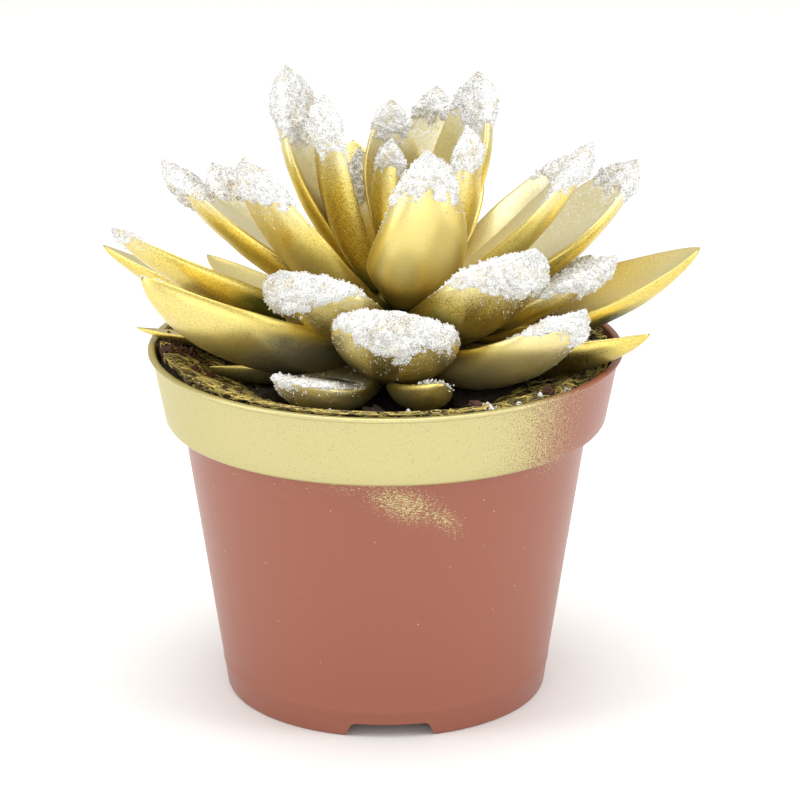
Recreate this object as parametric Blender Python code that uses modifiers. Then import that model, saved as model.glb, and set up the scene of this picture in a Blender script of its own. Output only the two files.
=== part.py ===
"""A potted rosette succulent, sprayed gold and tipped with artificial snow.

One rosette of thick pointed leaves grows from a short stem. The stem stands in
a hole in the soil, and the soil fills a thin plastic pot with a stepped rim.
A crust of snow sits over the tips of most leaves, a little off the leaf.

Sizes below are millimetres and degrees, and the model is in metres, +Z up.
The pot's axis is upright, and the whole model is set down so that the middle
of its bounding box's base is the origin. The front is -Y.
"""

import math
from collections import namedtuple

import bmesh
import bpy
from mathutils import Matrix, Vector, noise
from mathutils.bvhtree import BVHTree

MM = 0.001
CLEARANCE = 0.3
SLIVER = 0.02

# Pot, turned about its own axis
LIP_RADIUS = 45.0
POT_HEIGHT = 67.7
WALL = 0.9
BEAD_HEIGHT = 0.8
BEAD_REACH = 0.6
RIM_BOTTOM = 53.8
RIM_BOTTOM_RADIUS = 41.8
BODY_TOP_RADIUS = 38.6
BASE_RADIUS = 30.7
FLOOR_RISE = 5.0
FOOT_WIDTH = 1.8
FOOT_DRAFT = 0.5
CORNER = 0.7
FILLET = 0.2
LIP_EASE = 0.3
POT_STEPS = 64

# Notches in the foot ring, and drain holes in the raised floor
NOTCH_COUNT = 3
NOTCH_TURN = 1.4
NOTCH_TOP_WIDTH = 14.4
NOTCH_BOTTOM_WIDTH = 16.8
NOTCH_HEIGHT = 2.8
NOTCH_ROUND = 0.8
NOTCH_BELOW = 1.0
NOTCH_REACH = 8.0
DRAIN_COUNT = 6
DRAIN_RADIUS = 2.5
DRAIN_SIDES = 12
DRAIN_DEPTH = 6.0
DRAIN_RING_RADIUS = 17.0

# Soil, with a plain hole for the stem, its top heaped up along the wall and
# pressed down under low leaves
SOIL_GAP = 0.4
SOIL_LEVEL = 64.4
SOIL_DISH = 2.4
SOIL_DISH_RADIUS = 32.0
SOIL_RELIEF = 0.45
SOIL_HEAP = 2.0
SOIL_HEAP_RADIUS = 33.0
SOIL_HEAP_REACH = 8.0
LOW_RISE = 18
SOIL_PRESS_POINTS = 20
SOIL_PRESS_REACH = 2.0
SOIL_PRESS_GAP = 0.6
SOIL_LUMP = 5.0
SOIL_RINGS = 7
SOIL_STEPS = 44

# Stem, a short cone that the leaves grow from
STEM_X = 2.0
STEM_FOOT = 52.0
STEM_TOP = 80.0
STEM_FOOT_RADIUS = 4.0
STEM_TOP_RADIUS = 4.6
STEM_SIDES = 12

# Leaf roots climb the stem as the leaves grow steeper
ROOT_REACH = 1.5
ROOT_LOW = 69.0
ROOT_CLIMB = 11.0

# Leaf shape, as shares of its length and breadth
WIDEST = 0.60
ROOT_BREADTH = 0.38
ROOT_ROUND = 0.07
TIP_FULLNESS = 1.8
TIP_POINT = 0.8
DEEPEST = 0.35
ROOT_DEPTH = 0.6
BELLY_FULLNESS = 2.2
BELLY_POINT = 0.7
SHOULDER = 0.16
CHANNEL = 0.20
LEAF_SIDES = 10
LEAF_RINGS = 8

# Snow crust, thinner at its edge and over the leaf's point
SNOW_OFF_LEAF = 0.45
SNOW_OFF_OWN = 0.15
SNOW_THINNEST = 0.40
SNOW_LUMP = 2.4
SNOW_EDGE_WANDER = 0.05
SNOW_EDGE_WAVES = 1.6
SNOW_SPREAD = 0.85
SNOW_EDGE_THIN = 0.5
SNOW_EDGE_REACH = 0.4
SNOW_TIP_THIN = 0.4
SNOW_TIP_REACH = 0.3
SNOW_RINGS = 5
SNOW_RINGS_LONG = 7
SNOW_LONG = 0.40

# Azimuth is the way a leaf points, 0 to the front and 90 to the right, and
# rise is the slope of the line from its root to its tip. Length, breadth and
# the depth of the belly are millimetres. Bend is how far the leaf curls up
# from root to tip, and roll lifts its left-hand margin, seen from the root.
# Top and under are the shares of the length that the crust covers on the
# upper face and on the belly, 0 for a bare leaf, and crust is its thickness.
# Widest is the share of the length at which the leaf is broadest.
Leaf = namedtuple("Leaf", "name azimuth rise length breadth depth bend roll"
                          " top under crust widest", defaults=(WIDEST,))

LEAVES = (
    Leaf("heart_1", -20, 88, 28.5, 8, 3, 10, 0, 0.22, 0.2, 0.9),
    Leaf("heart_2", 60, 84, 20, 7, 3, 10, 0, 0, 0, 0),
    Leaf("heart_3", 170, 84, 21, 7, 3, 10, 0, 0, 0, 0),
    Leaf("crown_1", 22, 67, 34.5, 19.5, 7, 48, 0, 0.36, 0.22, 1.3, 0.36),
    Leaf("crown_2", 70, 70, 36, 13, 5, 35, 0, 0.3, 0.2, 1.2),
    Leaf("crown_3", 120, 68, 44.5, 17, 5, 20, 0, 0.24, 0.2, 1.5),
    Leaf("crown_4", 160, 59, 42.5, 14, 5, 15, 0, 0.18, 0.16, 1.5),
    Leaf("crown_5", -172, 82, 35, 11, 4, 12, 0, 0.22, 0.16, 1.2),
    Leaf("crown_6", -73, 73, 41.5, 13, 5, 20, 0, 0.3, 0.24, 1.5),
    Leaf("crown_7", -112, 64, 48, 19, 5, 20, 0, 0.32, 0.22, 1.6),
    Leaf("crown_8", -155, 60, 30, 8, 4, 15, 0, 0.40, 0.36, 0.8),
    Leaf("middle_1", 1, 22, 32, 24, 9, 50, -8, 0.46, 0.2, 1.8),
    Leaf("middle_2", 46, 31.5, 39, 20, 8, 24, -12, 0.5, 0.2, 1.8),
    Leaf("middle_3", 76, 22, 44, 13, 5, 25, 0, 0.44, 0.22, 1.4),
    Leaf("middle_4", 84, 44, 49, 15, 5, 20, 0, 0.26, 0.18, 1.4),
    Leaf("middle_5", 108, 30, 54.5, 22, 6, 22, 0, 0.16, 0.14, 1.5),
    Leaf("middle_6", 135, 27, 52, 14, 5, 20, 0, 0.14, 0.12, 1.4),
    Leaf("middle_7", 158, 34, 46, 14, 5, 20, 0, 0, 0, 0),
    Leaf("middle_8", -165, 40, 40, 14, 5, 20, 0, 0, 0, 0),
    Leaf("middle_9", -130, 27, 51, 15, 5, 20, 0, .22, 0.18, 1.5),
    Leaf("middle_10", -98, 34, 52, 16, 5, 13, 10, 0.24, 0.18, 1.5),
    Leaf("middle_11", -61, 48, 45, 22, 6, 22, 0, 0.28, 0.16, 1.5),
    Leaf("middle_12", -44, 29, 33, 20, 7, 22, 14, 0.5, 0.24, 1.8),
    Leaf("outer_1", 14, 2, 32, 11.5, 5, 60, -12, 0, 0, 0),
    Leaf("outer_2", 53, 15.5, 43, 17, 7, 62, -15, 0.34, 0.12, 1.6),
    Leaf("outer_3", 85, 17, 58, 18, 6.8, 25, 10, 0, 0, 0),
    Leaf("outer_4", 71, 5.9, 48.4, 13, 6.6, 20, -14, 0, 0, 0),
    Leaf("outer_5", 110, 15, 40, 11, 4, 20, 0, 0.30, 0.18, 1.4),
    Leaf("outer_6", 122, 8, 50, 15, 5, 20, 0, 0, 0, 0),
    Leaf("outer_7", 148, 14, 50, 15, 5, 20, 0, 0.24, 0.14, 1.4),
    Leaf("outer_8", 168, 5, 50, 14, 4, 20, 0, 0, 0, 0),
    Leaf("outer_9", -178, 20, 48, 15, 5, 20, 0, 0.24, 0.14, 1.4),
    Leaf("outer_10", -160, 8, 50, 14, 4, 20, 0, 0, 0, 0),
    Leaf("outer_11", -138, 4, 55, 12, 4, 20, 0, 0, 0, 0),
    Leaf("outer_12", -122, 6, 46, 12, 4, 20, 0, 0, 0, 0),
    Leaf("outer_13", -100, 14, 57, 13, 5, 20, 10, 0, 0, 0),
    Leaf("outer_14", -85, 21.5, 56, 14, 5, 22, 22, .11, .08, .9),
    Leaf("outer_15", -93, 1.3, 48, 12, 3, 15, 12, 0, 0, 0),
    Leaf("outer_16", -75, -3.8, 35, 10, 4.5, 18, 20, 0, 0, 0),
    Leaf("outer_17", -66, 18, 52, 20, 8, 43, 21, 0, 0, 0),
    Leaf("outer_18", -31, 4, 39, 15, 6, 52, 0, 0.50, 0.06, 1.2),
)


def clear_scene():
    """Remove every object, so that a second run starts clean."""
    for obj in list(bpy.data.objects):
        bpy.data.objects.remove(obj, do_unlink=True)


def make_collection(name):
    collection = bpy.data.collections.new(name)
    bpy.context.scene.collection.children.link(collection)
    return collection


def make_material(name, colour, roughness, metallic=0.0):
    material = bpy.data.materials.new(name)
    material.use_nodes = True
    shader = material.node_tree.nodes["Principled BSDF"]
    shader.inputs["Base Color"].default_value = (*colour, 1.0)
    shader.inputs["Roughness"].default_value = roughness
    shader.inputs["Metallic"].default_value = metallic
    return material


def place(name, mesh, collection, material=None):
    """Wrap a mesh in a named object and put it in a collection."""
    obj = bpy.data.objects.new(name, mesh)
    collection.objects.link(obj)
    if material:
        mesh.materials.append(material)
    return obj


def mesh_from(shape, name):
    """Turn a bmesh in millimetres into a mesh in metres."""
    bmesh.ops.scale(shape, vec=(MM, MM, MM), verts=shape.verts)
    mesh = bpy.data.meshes.new(name)
    shape.to_mesh(mesh)
    shape.free()
    return mesh


def turned(name, profile, steps, collection, material):
    """Turn a profile of (radius, height) points about Z."""
    shape = bmesh.new()
    points = [shape.verts.new((radius, 0.0, height)) for radius, height in profile]
    for start, end in zip(points, points[1:]):
        shape.edges.new((start, end))
    obj = place(name, mesh_from(shape, name), collection, material)
    screw = obj.modifiers.new("turn", "SCREW")
    screw.steps = steps
    screw.render_steps = steps
    screw.use_merge_vertices = True
    screw.merge_threshold = 0.00001
    return obj


def bake(obj):
    """Replace an object's mesh by what its modifiers make of it."""
    depsgraph = bpy.context.evaluated_depsgraph_get()
    mesh = bpy.data.meshes.new_from_object(obj.evaluated_get(depsgraph))
    obj.modifiers.clear()
    obj.data = mesh


def cut(obj, cutter):
    """Cut a wire-drawn solid out of an object."""
    cutter.hide_render = True
    cutter.display_type = "WIRE"
    boolean = obj.modifiers.new(cutter.name, "BOOLEAN")
    boolean.operation = "DIFFERENCE"
    boolean.solver = "EXACT"
    boolean.object = cutter


# Pot

def body_radius(height):
    """Outer radius of the tapered body below the rim."""
    share = height / RIM_BOTTOM
    return BASE_RADIUS + (BODY_TOP_RADIUS - BASE_RADIUS) * share


def rim_radius(height):
    """Outer radius of the rim band, below its bead."""
    share = (height - RIM_BOTTOM) / (POT_HEIGHT - RIM_BOTTOM)
    return RIM_BOTTOM_RADIUS + (LIP_RADIUS - BEAD_REACH - RIM_BOTTOM_RADIUS) * share


def inner_radius(height):
    """Inner radius of the pot, which steps out behind the rim."""
    if height < RIM_BOTTOM + WALL:
        return body_radius(height) - WALL
    return rim_radius(height) - WALL


def inside_profile(gap=0.0):
    """Up the inside from the floor's edge to below the lip, or a gap clear of it."""
    floor_top = FLOOR_RISE + WALL
    shoulder = RIM_BOTTOM + WALL
    below, above = shoulder - CORNER, shoulder + CORNER
    points = [
        (inner_radius(floor_top) - CORNER, floor_top),
        (inner_radius(floor_top + CORNER), floor_top + CORNER),
        (inner_radius(below), below),
        (inner_radius(below) + CORNER, shoulder),
        (inner_radius(above) - CORNER, shoulder),
        (inner_radius(above), above),
    ]
    return [(radius - gap, height + gap) for radius, height in points]


def pot_profile():
    """From the middle of the floor up the inside, over the lip and down."""
    bead_bottom = POT_HEIGHT - BEAD_HEIGHT
    foot_inner = BASE_RADIUS - FOOT_WIDTH
    lip = [
        (inner_radius(POT_HEIGHT) + FILLET, POT_HEIGHT - LIP_EASE),
        (LIP_RADIUS - BEAD_REACH, POT_HEIGHT),
        (LIP_RADIUS - 0.5 * FILLET, POT_HEIGHT - 0.5 * LIP_EASE),
        (LIP_RADIUS, POT_HEIGHT - 0.5 * BEAD_HEIGHT),
        (rim_radius(bead_bottom), bead_bottom),
    ]
    outside = [
        (rim_radius(RIM_BOTTOM + CORNER), RIM_BOTTOM + CORNER),
        (RIM_BOTTOM_RADIUS - 0.25 * CORNER, RIM_BOTTOM + 0.25 * CORNER),
        (RIM_BOTTOM_RADIUS - CORNER, RIM_BOTTOM),
        (body_radius(RIM_BOTTOM) + FILLET, RIM_BOTTOM),
        (body_radius(RIM_BOTTOM - CORNER), RIM_BOTTOM - CORNER),
        (body_radius(CORNER), CORNER),
        (BASE_RADIUS - LIP_EASE, 0.0),
        (foot_inner, 0.0),
        (foot_inner - FOOT_DRAFT, FLOOR_RISE),
        (0.0, FLOOR_RISE),
    ]
    return [(0.0, FLOOR_RISE + WALL)] + inside_profile() + lip + outside


def notch_cutter(index, collection):
    """A block with a narrower rounded top, across the foot ring."""
    flare = (NOTCH_BOTTOM_WIDTH - NOTCH_TOP_WIDTH) / NOTCH_HEIGHT
    shape = bmesh.new()
    bmesh.ops.create_cube(shape, size=1.0)
    for vert in shape.verts:
        top = vert.co.z > 0
        vert.co.x *= NOTCH_TOP_WIDTH if top else NOTCH_BOTTOM_WIDTH + flare * NOTCH_BELOW
        vert.co.y = vert.co.y * NOTCH_REACH - BASE_RADIUS
        vert.co.z = NOTCH_HEIGHT if top else -NOTCH_BELOW
    upper_edges = [edge for edge in shape.edges
                   if all(vert.co.z > 0 for vert in edge.verts)
                   and abs(edge.verts[0].co.x - edge.verts[1].co.x) < SLIVER]
    bmesh.ops.bevel(shape, geom=upper_edges, offset=NOTCH_ROUND, segments=2,
                    affect="EDGES", profile=0.5)
    turn = math.radians(NOTCH_TURN + 360.0 * index / NOTCH_COUNT)
    bmesh.ops.rotate(shape, cent=(0, 0, 0), verts=shape.verts,
                     matrix=Matrix.Rotation(turn, 3, "Z"))
    name = f"notch_cutter_{index + 1}"
    return place(name, mesh_from(shape, name), collection)


def drain_cutter(index, collection):
    shape = bmesh.new()
    bmesh.ops.create_cone(shape, cap_ends=True, segments=DRAIN_SIDES,
                          radius1=DRAIN_RADIUS, radius2=DRAIN_RADIUS, depth=DRAIN_DEPTH)
    turn = math.tau * index / DRAIN_COUNT
    spot = (DRAIN_RING_RADIUS * math.cos(turn), DRAIN_RING_RADIUS * math.sin(turn),
            FLOOR_RISE)
    bmesh.ops.translate(shape, vec=spot, verts=shape.verts)
    name = f"drain_cutter_{index + 1}"
    return place(name, mesh_from(shape, name), collection)


def make_pot(collection, cutters):
    plastic = make_material("terracotta plastic", (0.40, 0.15, 0.10), 0.38)
    pot = turned("pot", pot_profile(), POT_STEPS, collection, plastic)
    for index in range(NOTCH_COUNT):
        cut(pot, notch_cutter(index, cutters))
    for index in range(DRAIN_COUNT):
        cut(pot, drain_cutter(index, cutters))
    return pot


# Soil

def soil_height(x, y):
    """Level of the soil's lumpy top, pressed down under the lowest leaves."""
    spot = Vector((x, y, 0.0)) / SOIL_LUMP
    reach = math.hypot(x, y)
    dish = SOIL_DISH * (1.0 - smooth(reach / SOIL_DISH_RADIUS))
    heap = SOIL_HEAP * smooth((reach - SOIL_HEAP_RADIUS) / SOIL_HEAP_REACH)
    level = SOIL_LEVEL - dish + heap + SOIL_RELIEF * noise.noise(spot)
    for leaf in LEAVES:
        if leaf.rise > LOW_RISE:
            continue
        near = 0.5 * leaf.breadth + SOIL_PRESS_REACH
        for step in range(1, SOIL_PRESS_POINTS):
            belly = leaf_point(leaf, step / SOIL_PRESS_POINTS, -0.5 * math.pi)
            if math.hypot(x - belly.x, y - belly.y) < near:
                level = min(level, belly.z - SOIL_PRESS_GAP)
    return level


def make_soil(collection):
    """A plug that fills the pot up to its lumpy top, with the stem's hole."""
    hole_radius = max(STEM_FOOT_RADIUS, STEM_TOP_RADIUS) + CLEARANCE
    hole_floor = STEM_FOOT - CLEARANCE
    edge = inner_radius(SOIL_LEVEL) - SOIL_GAP
    first = hole_radius + abs(STEM_X)
    rings = [first + (edge - first) * ring / SOIL_RINGS for ring in range(1, SOIL_RINGS)]
    profile = [(0.0, hole_floor), (hole_radius, hole_floor), (hole_radius, SOIL_LEVEL)]
    profile += [(radius, SOIL_LEVEL) for radius in rings]
    profile += [(edge, SOIL_LEVEL)] + inside_profile(SOIL_GAP)[::-1]
    profile += [(0.0, FLOOR_RISE + WALL + SOIL_GAP)]
    peat = make_material("peat with coir", (0.045, 0.028, 0.016), 0.95)
    soil = turned("soil", profile, SOIL_STEPS, collection, peat)
    bake(soil)
    for vert in soil.data.vertices:
        reach = math.hypot(vert.co.x, vert.co.y) / MM
        if reach < hole_radius + SLIVER:
            vert.co.x += STEM_X * MM
        if abs(vert.co.z / MM - SOIL_LEVEL) < SLIVER:
            vert.co.z = soil_height(vert.co.x / MM, vert.co.y / MM) * MM
    return soil


# Leaves

def smooth(share):
    share = min(max(share, 0.0), 1.0)
    return share * share * (3.0 - 2.0 * share)


def closing(t):
    """Rounds the root end shut."""
    if t >= ROOT_ROUND:
        return 1.0
    return math.sqrt(max(0.0, 1.0 - (1.0 - t / ROOT_ROUND) ** 2))


def half_breadth(leaf, t):
    """Half the leaf's breadth at share t of its length."""
    if t < leaf.widest:
        share = ROOT_BREADTH + (1.0 - ROOT_BREADTH) * smooth(t / leaf.widest)
        return 0.5 * leaf.breadth * share * closing(t)
    u = (t - leaf.widest) / (1.0 - leaf.widest)
    return 0.5 * leaf.breadth * max(0.0, 1.0 - u ** TIP_FULLNESS) ** TIP_POINT


def belly_depth(leaf, t):
    """Depth of the rounded underside at share t of the length."""
    if t < DEEPEST:
        share = ROOT_DEPTH + (1.0 - ROOT_DEPTH) * smooth(t / DEEPEST)
        return leaf.depth * share * closing(t)
    u = (t - DEEPEST) / (1.0 - DEEPEST)
    return leaf.depth * max(0.0, 1.0 - u ** BELLY_FULLNESS) ** BELLY_POINT


def leaf_frame(leaf):
    """Root point, and the directions along, across and out of the upper face."""
    azimuth, rise, roll = (math.radians(angle)
                           for angle in (leaf.azimuth, leaf.rise, leaf.roll))
    outward = Vector((math.sin(azimuth), -math.cos(azimuth), 0.0))
    along = outward * math.cos(rise) + Vector((0.0, 0.0, math.sin(rise)))
    across = Vector((math.cos(azimuth), math.sin(azimuth), 0.0))
    up = along.cross(across)
    turn = Matrix.Rotation(roll, 3, along)
    climb = ROOT_LOW + ROOT_CLIMB * leaf.rise / 90.0
    root = Vector((STEM_X, 0.0, climb)) + outward * ROOT_REACH
    return root, along, turn @ across, turn @ up


def leaf_point(leaf, t, around):
    """A point of the leaf's skin: around is 0 and half a turn at the margins."""
    root, along, across, up = leaf_frame(leaf)
    bend = math.radians(leaf.bend)
    radius = 0.5 * leaf.length / math.sin(0.5 * bend)
    lean = bend * (t - 0.5)
    forward = radius * (math.sin(lean) + math.sin(0.5 * bend))
    lift = radius * (math.cos(0.5 * bend) - math.cos(lean))
    half = half_breadth(leaf, t)
    rise = math.sin(around)
    if rise >= 0.0:
        height = half * (SHOULDER * rise - CHANNEL * rise * rise)
    else:
        height = belly_depth(leaf, t) * rise
    forward -= height * math.sin(lean)
    lift += height * math.cos(lean)
    return root + along * forward + across * (half * math.cos(around)) + up * lift


def share_along(vert):
    """Share of the way from root to tip of a vertex on the unit sphere."""
    return math.acos(max(-1.0, min(1.0, -vert.co.z))) / math.pi


def sphere_to_leaf(shape, leaf):
    """Reshape a unit sphere, poles at root and tip, into the leaf's skin."""
    for vert in shape.verts:
        share = share_along(vert)
        around = math.atan2(vert.co.y, vert.co.x)
        t = 0.5 * share + 0.25 * (1.0 - math.cos(math.pi * share))
        vert.co = leaf_point(leaf, t, around)


def make_leaf(leaf, collection, material):
    shape = bmesh.new()
    bmesh.ops.create_uvsphere(shape, u_segments=LEAF_SIDES, v_segments=LEAF_RINGS,
                              radius=1.0)
    sphere_to_leaf(shape, leaf)
    bmesh.ops.recalc_face_normals(shape, faces=shape.faces)
    name = f"leaf_{leaf.name}"
    return place(name, mesh_from(shape, name), collection, material)


def make_stem(collection, material):
    shape = bmesh.new()
    depth = STEM_TOP - STEM_FOOT
    bmesh.ops.create_cone(shape, cap_ends=True, segments=STEM_SIDES,
                          radius1=STEM_FOOT_RADIUS, radius2=STEM_TOP_RADIUS, depth=depth)
    bmesh.ops.translate(shape, vec=(STEM_X, 0.0, STEM_FOOT + 0.5 * depth),
                        verts=shape.verts)
    return place("rosette", mesh_from(shape, "rosette"), collection, material)


def keep_largest(obj):
    """Keep only the largest skin: pockets of air are filled, and scraps dropped."""
    shape = bmesh.new()
    shape.from_mesh(obj.data)
    bmesh.ops.dissolve_degenerate(shape, dist=SLIVER * MM, edges=shape.edges)
    bmesh.ops.triangulate(shape, faces=shape.faces)
    waiting = set(shape.faces)
    skins = []
    while waiting:
        skin = [waiting.pop()]
        for face in skin:
            for edge in face.edges:
                if len(edge.link_faces) > 2:
                    continue
                near = waiting.intersection(edge.link_faces)
                waiting -= near
                skin += near
        skins.append(skin)
    skins.sort(key=len)
    others = [face for skin in skins[:-1] for face in skin]
    bmesh.ops.delete(shape, geom=others, context="FACES")
    shape.to_mesh(obj.data)
    shape.free()


def make_rosette(collection):
    """Join the stem and its leaves into the one body that they grew as."""
    gold = make_material("gold sprayed leaf", (0.62, 0.45, 0.13), 0.36, 0.85)
    rosette = make_stem(collection, gold)
    leaves = make_collection("leaves")
    for leaf in LEAVES:
        make_leaf(leaf, leaves, gold)
    union = rosette.modifiers.new("grown together", "BOOLEAN")
    union.operation = "UNION"
    union.operand_type = "COLLECTION"
    union.collection = leaves
    union.solver = "EXACT"
    bake(rosette)
    keep_largest(rosette)
    for obj in list(leaves.objects):
        bpy.data.objects.remove(obj, do_unlink=True)
    bpy.data.collections.remove(leaves)
    return rosette


# Snow

def snow_start(leaf, around, seed):
    """Share of the length where the crust starts, on each side of the leaf."""
    facing_up = 0.5 + 0.5 * math.sin(around)
    covered = leaf.under + (leaf.top - leaf.under) * smooth(facing_up)
    spot = Vector((math.cos(around), math.sin(around), 0.0)) * SNOW_EDGE_WAVES
    return 1.0 - covered + SNOW_EDGE_WANDER * noise.noise(spot + seed)


def snow_weight(share, spot, seed):
    """Thickness of the crust as a share of its full thickness."""
    lump = 0.5 + 0.5 * noise.noise(spot / SNOW_LUMP + seed)
    tip = SNOW_TIP_THIN + (1.0 - SNOW_TIP_THIN) * smooth((1.0 - share) / SNOW_TIP_REACH)
    edge = SNOW_EDGE_THIN + (1.0 - SNOW_EDGE_THIN) * smooth(share / SNOW_EDGE_REACH)
    return lump * tip * edge


def make_snow(leaf, number, collection, material):
    """A crust over the leaf's tip, open towards the root."""
    seed = Vector((number * 7.3, 1.7, 0.0))
    rings = SNOW_RINGS_LONG if leaf.top > SNOW_LONG else SNOW_RINGS
    shape = bmesh.new()
    bmesh.ops.create_uvsphere(shape, u_segments=LEAF_SIDES, v_segments=rings, radius=1.0)
    root_pole = min(shape.verts, key=lambda vert: vert.co.z)
    bmesh.ops.delete(shape, geom=[root_pole], context="VERTS")
    first_ring = 1.0 / rings
    shares = []
    for vert in shape.verts:
        share = max(0.0, (share_along(vert) - first_ring) / (1.0 - first_ring))
        around = math.atan2(vert.co.y, vert.co.x)
        start = snow_start(leaf, around, seed)
        vert.co = leaf_point(leaf, start + (1.0 - start) * share ** SNOW_SPREAD, around)
        shares.append(share)
    bmesh.ops.recalc_face_normals(shape, faces=shape.faces)
    shape.normal_update()
    for vert in shape.verts:
        vert.co += vert.normal * SNOW_OFF_LEAF
    name = f"snow_{leaf.name}"
    cap = place(name, mesh_from(shape, name), collection, material)
    lumps = cap.vertex_groups.new(name="lumps")
    for vert, share in zip(cap.data.vertices, shares):
        lumps.add([vert.index], snow_weight(share, vert.co / MM, seed), "REPLACE")
    crust = cap.modifiers.new("crust", "SOLIDIFY")
    crust.thickness = leaf.crust * MM
    crust.offset = 1.0
    crust.vertex_group = "lumps"
    crust.thickness_vertex_group = SNOW_THINNEST
    return cap


def grown(obj, collection, gap):
    """A copy of a solid that is larger all round by the gap, in millimetres."""
    shape = bmesh.new()
    shape.from_mesh(obj.data)
    shape.normal_update()
    for vert in shape.verts:
        vert.co += vert.normal * gap * MM
    mesh = bpy.data.meshes.new(obj.name)
    shape.to_mesh(mesh)
    shape.free()
    return place(f"{obj.name}_grown", mesh, collection)


def skin_tree(obj):
    depsgraph = bpy.context.evaluated_depsgraph_get()
    return BVHTree.FromObject(obj, depsgraph)


def make_all_snow(collection):
    """Every crust, cut back where it would run into another leaf or crust."""
    white = make_material("artificial snow", (0.80, 0.80, 0.78), 0.9)
    neighbours = make_collection("neighbours")
    leaves = {leaf.name: make_leaf(leaf, neighbours, None) for leaf in LEAVES}
    spaced = {name: grown(obj, neighbours, SNOW_OFF_LEAF) for name, obj in leaves.items()}
    caps = []
    for number, leaf in enumerate(LEAVES):
        if not leaf.crust:
            continue
        cap = make_snow(leaf, number, collection, white)
        bake(cap)
        others = [other for name, other in spaced.items() if name != leaf.name]
        others += caps + [grown(leaves[leaf.name], neighbours, SNOW_OFF_OWN)]
        tree = skin_tree(cap)
        for other in others:
            if tree.overlap(skin_tree(other)):
                boolean = cap.modifiers.new(other.name, "BOOLEAN")
                boolean.operation = "DIFFERENCE"
                boolean.solver = "MANIFOLD"
                boolean.object = other
        if cap.modifiers:
            bake(cap)
            keep_largest(cap)
        caps.append(grown(cap, neighbours, SNOW_OFF_LEAF))
    for obj in list(neighbours.objects):
        bpy.data.objects.remove(obj, do_unlink=True)
    bpy.data.collections.remove(neighbours)


def set_down(collection):
    """Shift the model so that its box's base is centred on the origin."""
    bpy.context.view_layer.update()
    depsgraph = bpy.context.evaluated_depsgraph_get()
    corners = []
    for obj in collection.objects:
        solid = obj.evaluated_get(depsgraph)
        corners += [obj.matrix_world @ Vector(corner) for corner in solid.bound_box]
    shift = Vector((
        -0.5 * (min(c.x for c in corners) + max(c.x for c in corners)),
        -0.5 * (min(c.y for c in corners) + max(c.y for c in corners)),
        -min(c.z for c in corners)))
    for obj in bpy.data.objects:
        obj.location += shift


def main():
    clear_scene()
    plant = make_collection("potted echeveria")
    cutters = make_collection("cutters")
    make_pot(plant, cutters)
    make_soil(plant)
    make_rosette(plant)
    make_all_snow(plant)
    for obj in plant.objects:
        obj.data.shade_smooth()
    set_down(plant)


main()
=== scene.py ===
"""Looks of a potted echeveria that was sprayed gold and tipped with artificial snow.

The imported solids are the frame. Finer pieces stand for each of them: the rosette's
leaves, a crumbly crust of snow on each snowed leaf, the pot with its painted rim,
and the soil with its coir fibres. Sizes are millimetres unless they say otherwise,
measured from the pot's axis, and the finished meshes are in metres.
"""

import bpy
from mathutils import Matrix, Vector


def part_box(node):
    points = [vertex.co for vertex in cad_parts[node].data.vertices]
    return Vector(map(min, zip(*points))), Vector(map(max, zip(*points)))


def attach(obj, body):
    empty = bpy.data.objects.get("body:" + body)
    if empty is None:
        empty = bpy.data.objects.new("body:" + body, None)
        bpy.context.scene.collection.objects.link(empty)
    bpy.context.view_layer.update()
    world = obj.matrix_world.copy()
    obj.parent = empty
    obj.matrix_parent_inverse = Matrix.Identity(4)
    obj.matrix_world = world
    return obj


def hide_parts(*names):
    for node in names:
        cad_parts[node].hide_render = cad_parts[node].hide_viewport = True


bl_info = {
    "name": "Gilded Echeveria",
    "version": (1, 0, 0),
    "blender": (4, 5, 0),
    "location": "View3D > Sidebar > Echeveria",
    "description": "Dresses a potted rosette in gold paint and artificial snow",
    "category": "Object",
}

import math
import random
from collections import namedtuple

import bmesh
import bpy
from mathutils import Matrix, Vector, noise

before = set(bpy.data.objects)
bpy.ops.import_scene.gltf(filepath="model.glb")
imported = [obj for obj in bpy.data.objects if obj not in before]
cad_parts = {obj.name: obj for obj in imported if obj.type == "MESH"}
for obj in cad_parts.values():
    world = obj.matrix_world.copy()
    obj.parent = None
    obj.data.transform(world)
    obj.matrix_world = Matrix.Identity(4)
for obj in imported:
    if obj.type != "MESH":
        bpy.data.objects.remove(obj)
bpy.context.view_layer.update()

MM = 0.001
POT_LOW, POT_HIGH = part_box("pot")
AXIS = Vector((0.5 * (POT_LOW.x + POT_HIGH.x), 0.5 * (POT_LOW.y + POT_HIGH.y), 0.0))

# Pot, as its solid, with its edges rounded
LIP_RADIUS = 45.0
POT_HEIGHT = 67.7
WALL = 0.9
BEAD_HEIGHT = 0.8
BEAD_REACH = 0.6
RIM_BOTTOM = 53.8
RIM_BOTTOM_RADIUS = 41.8
BODY_TOP_RADIUS = 38.6
BASE_RADIUS = 30.7
FLOOR_RISE = 5.0
FOOT_WIDTH = 1.8
FOOT_DRAFT = 0.5
CORNER = 0.7
MOULD_LINE_HEIGHT = 5.2
MOULD_LINE_REACH = 0.07
POT_SIDES = 224
AXIS_HOLE = 1.0
NOTCH_COUNT = 3
NOTCH_TURN = 1.4
NOTCH_TOP_WIDTH = 14.4
NOTCH_BOTTOM_WIDTH = 16.8
NOTCH_HEIGHT = 2.8
NOTCH_ROUND = 0.8
NOTCH_BELOW = 1.0
NOTCH_REACH = 8.0
DRAIN_COUNT = 6
DRAIN_RADIUS = 2.5
DRAIN_RING_RADIUS = 17.0
DRAIN_DEPTH = 6.0

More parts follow.
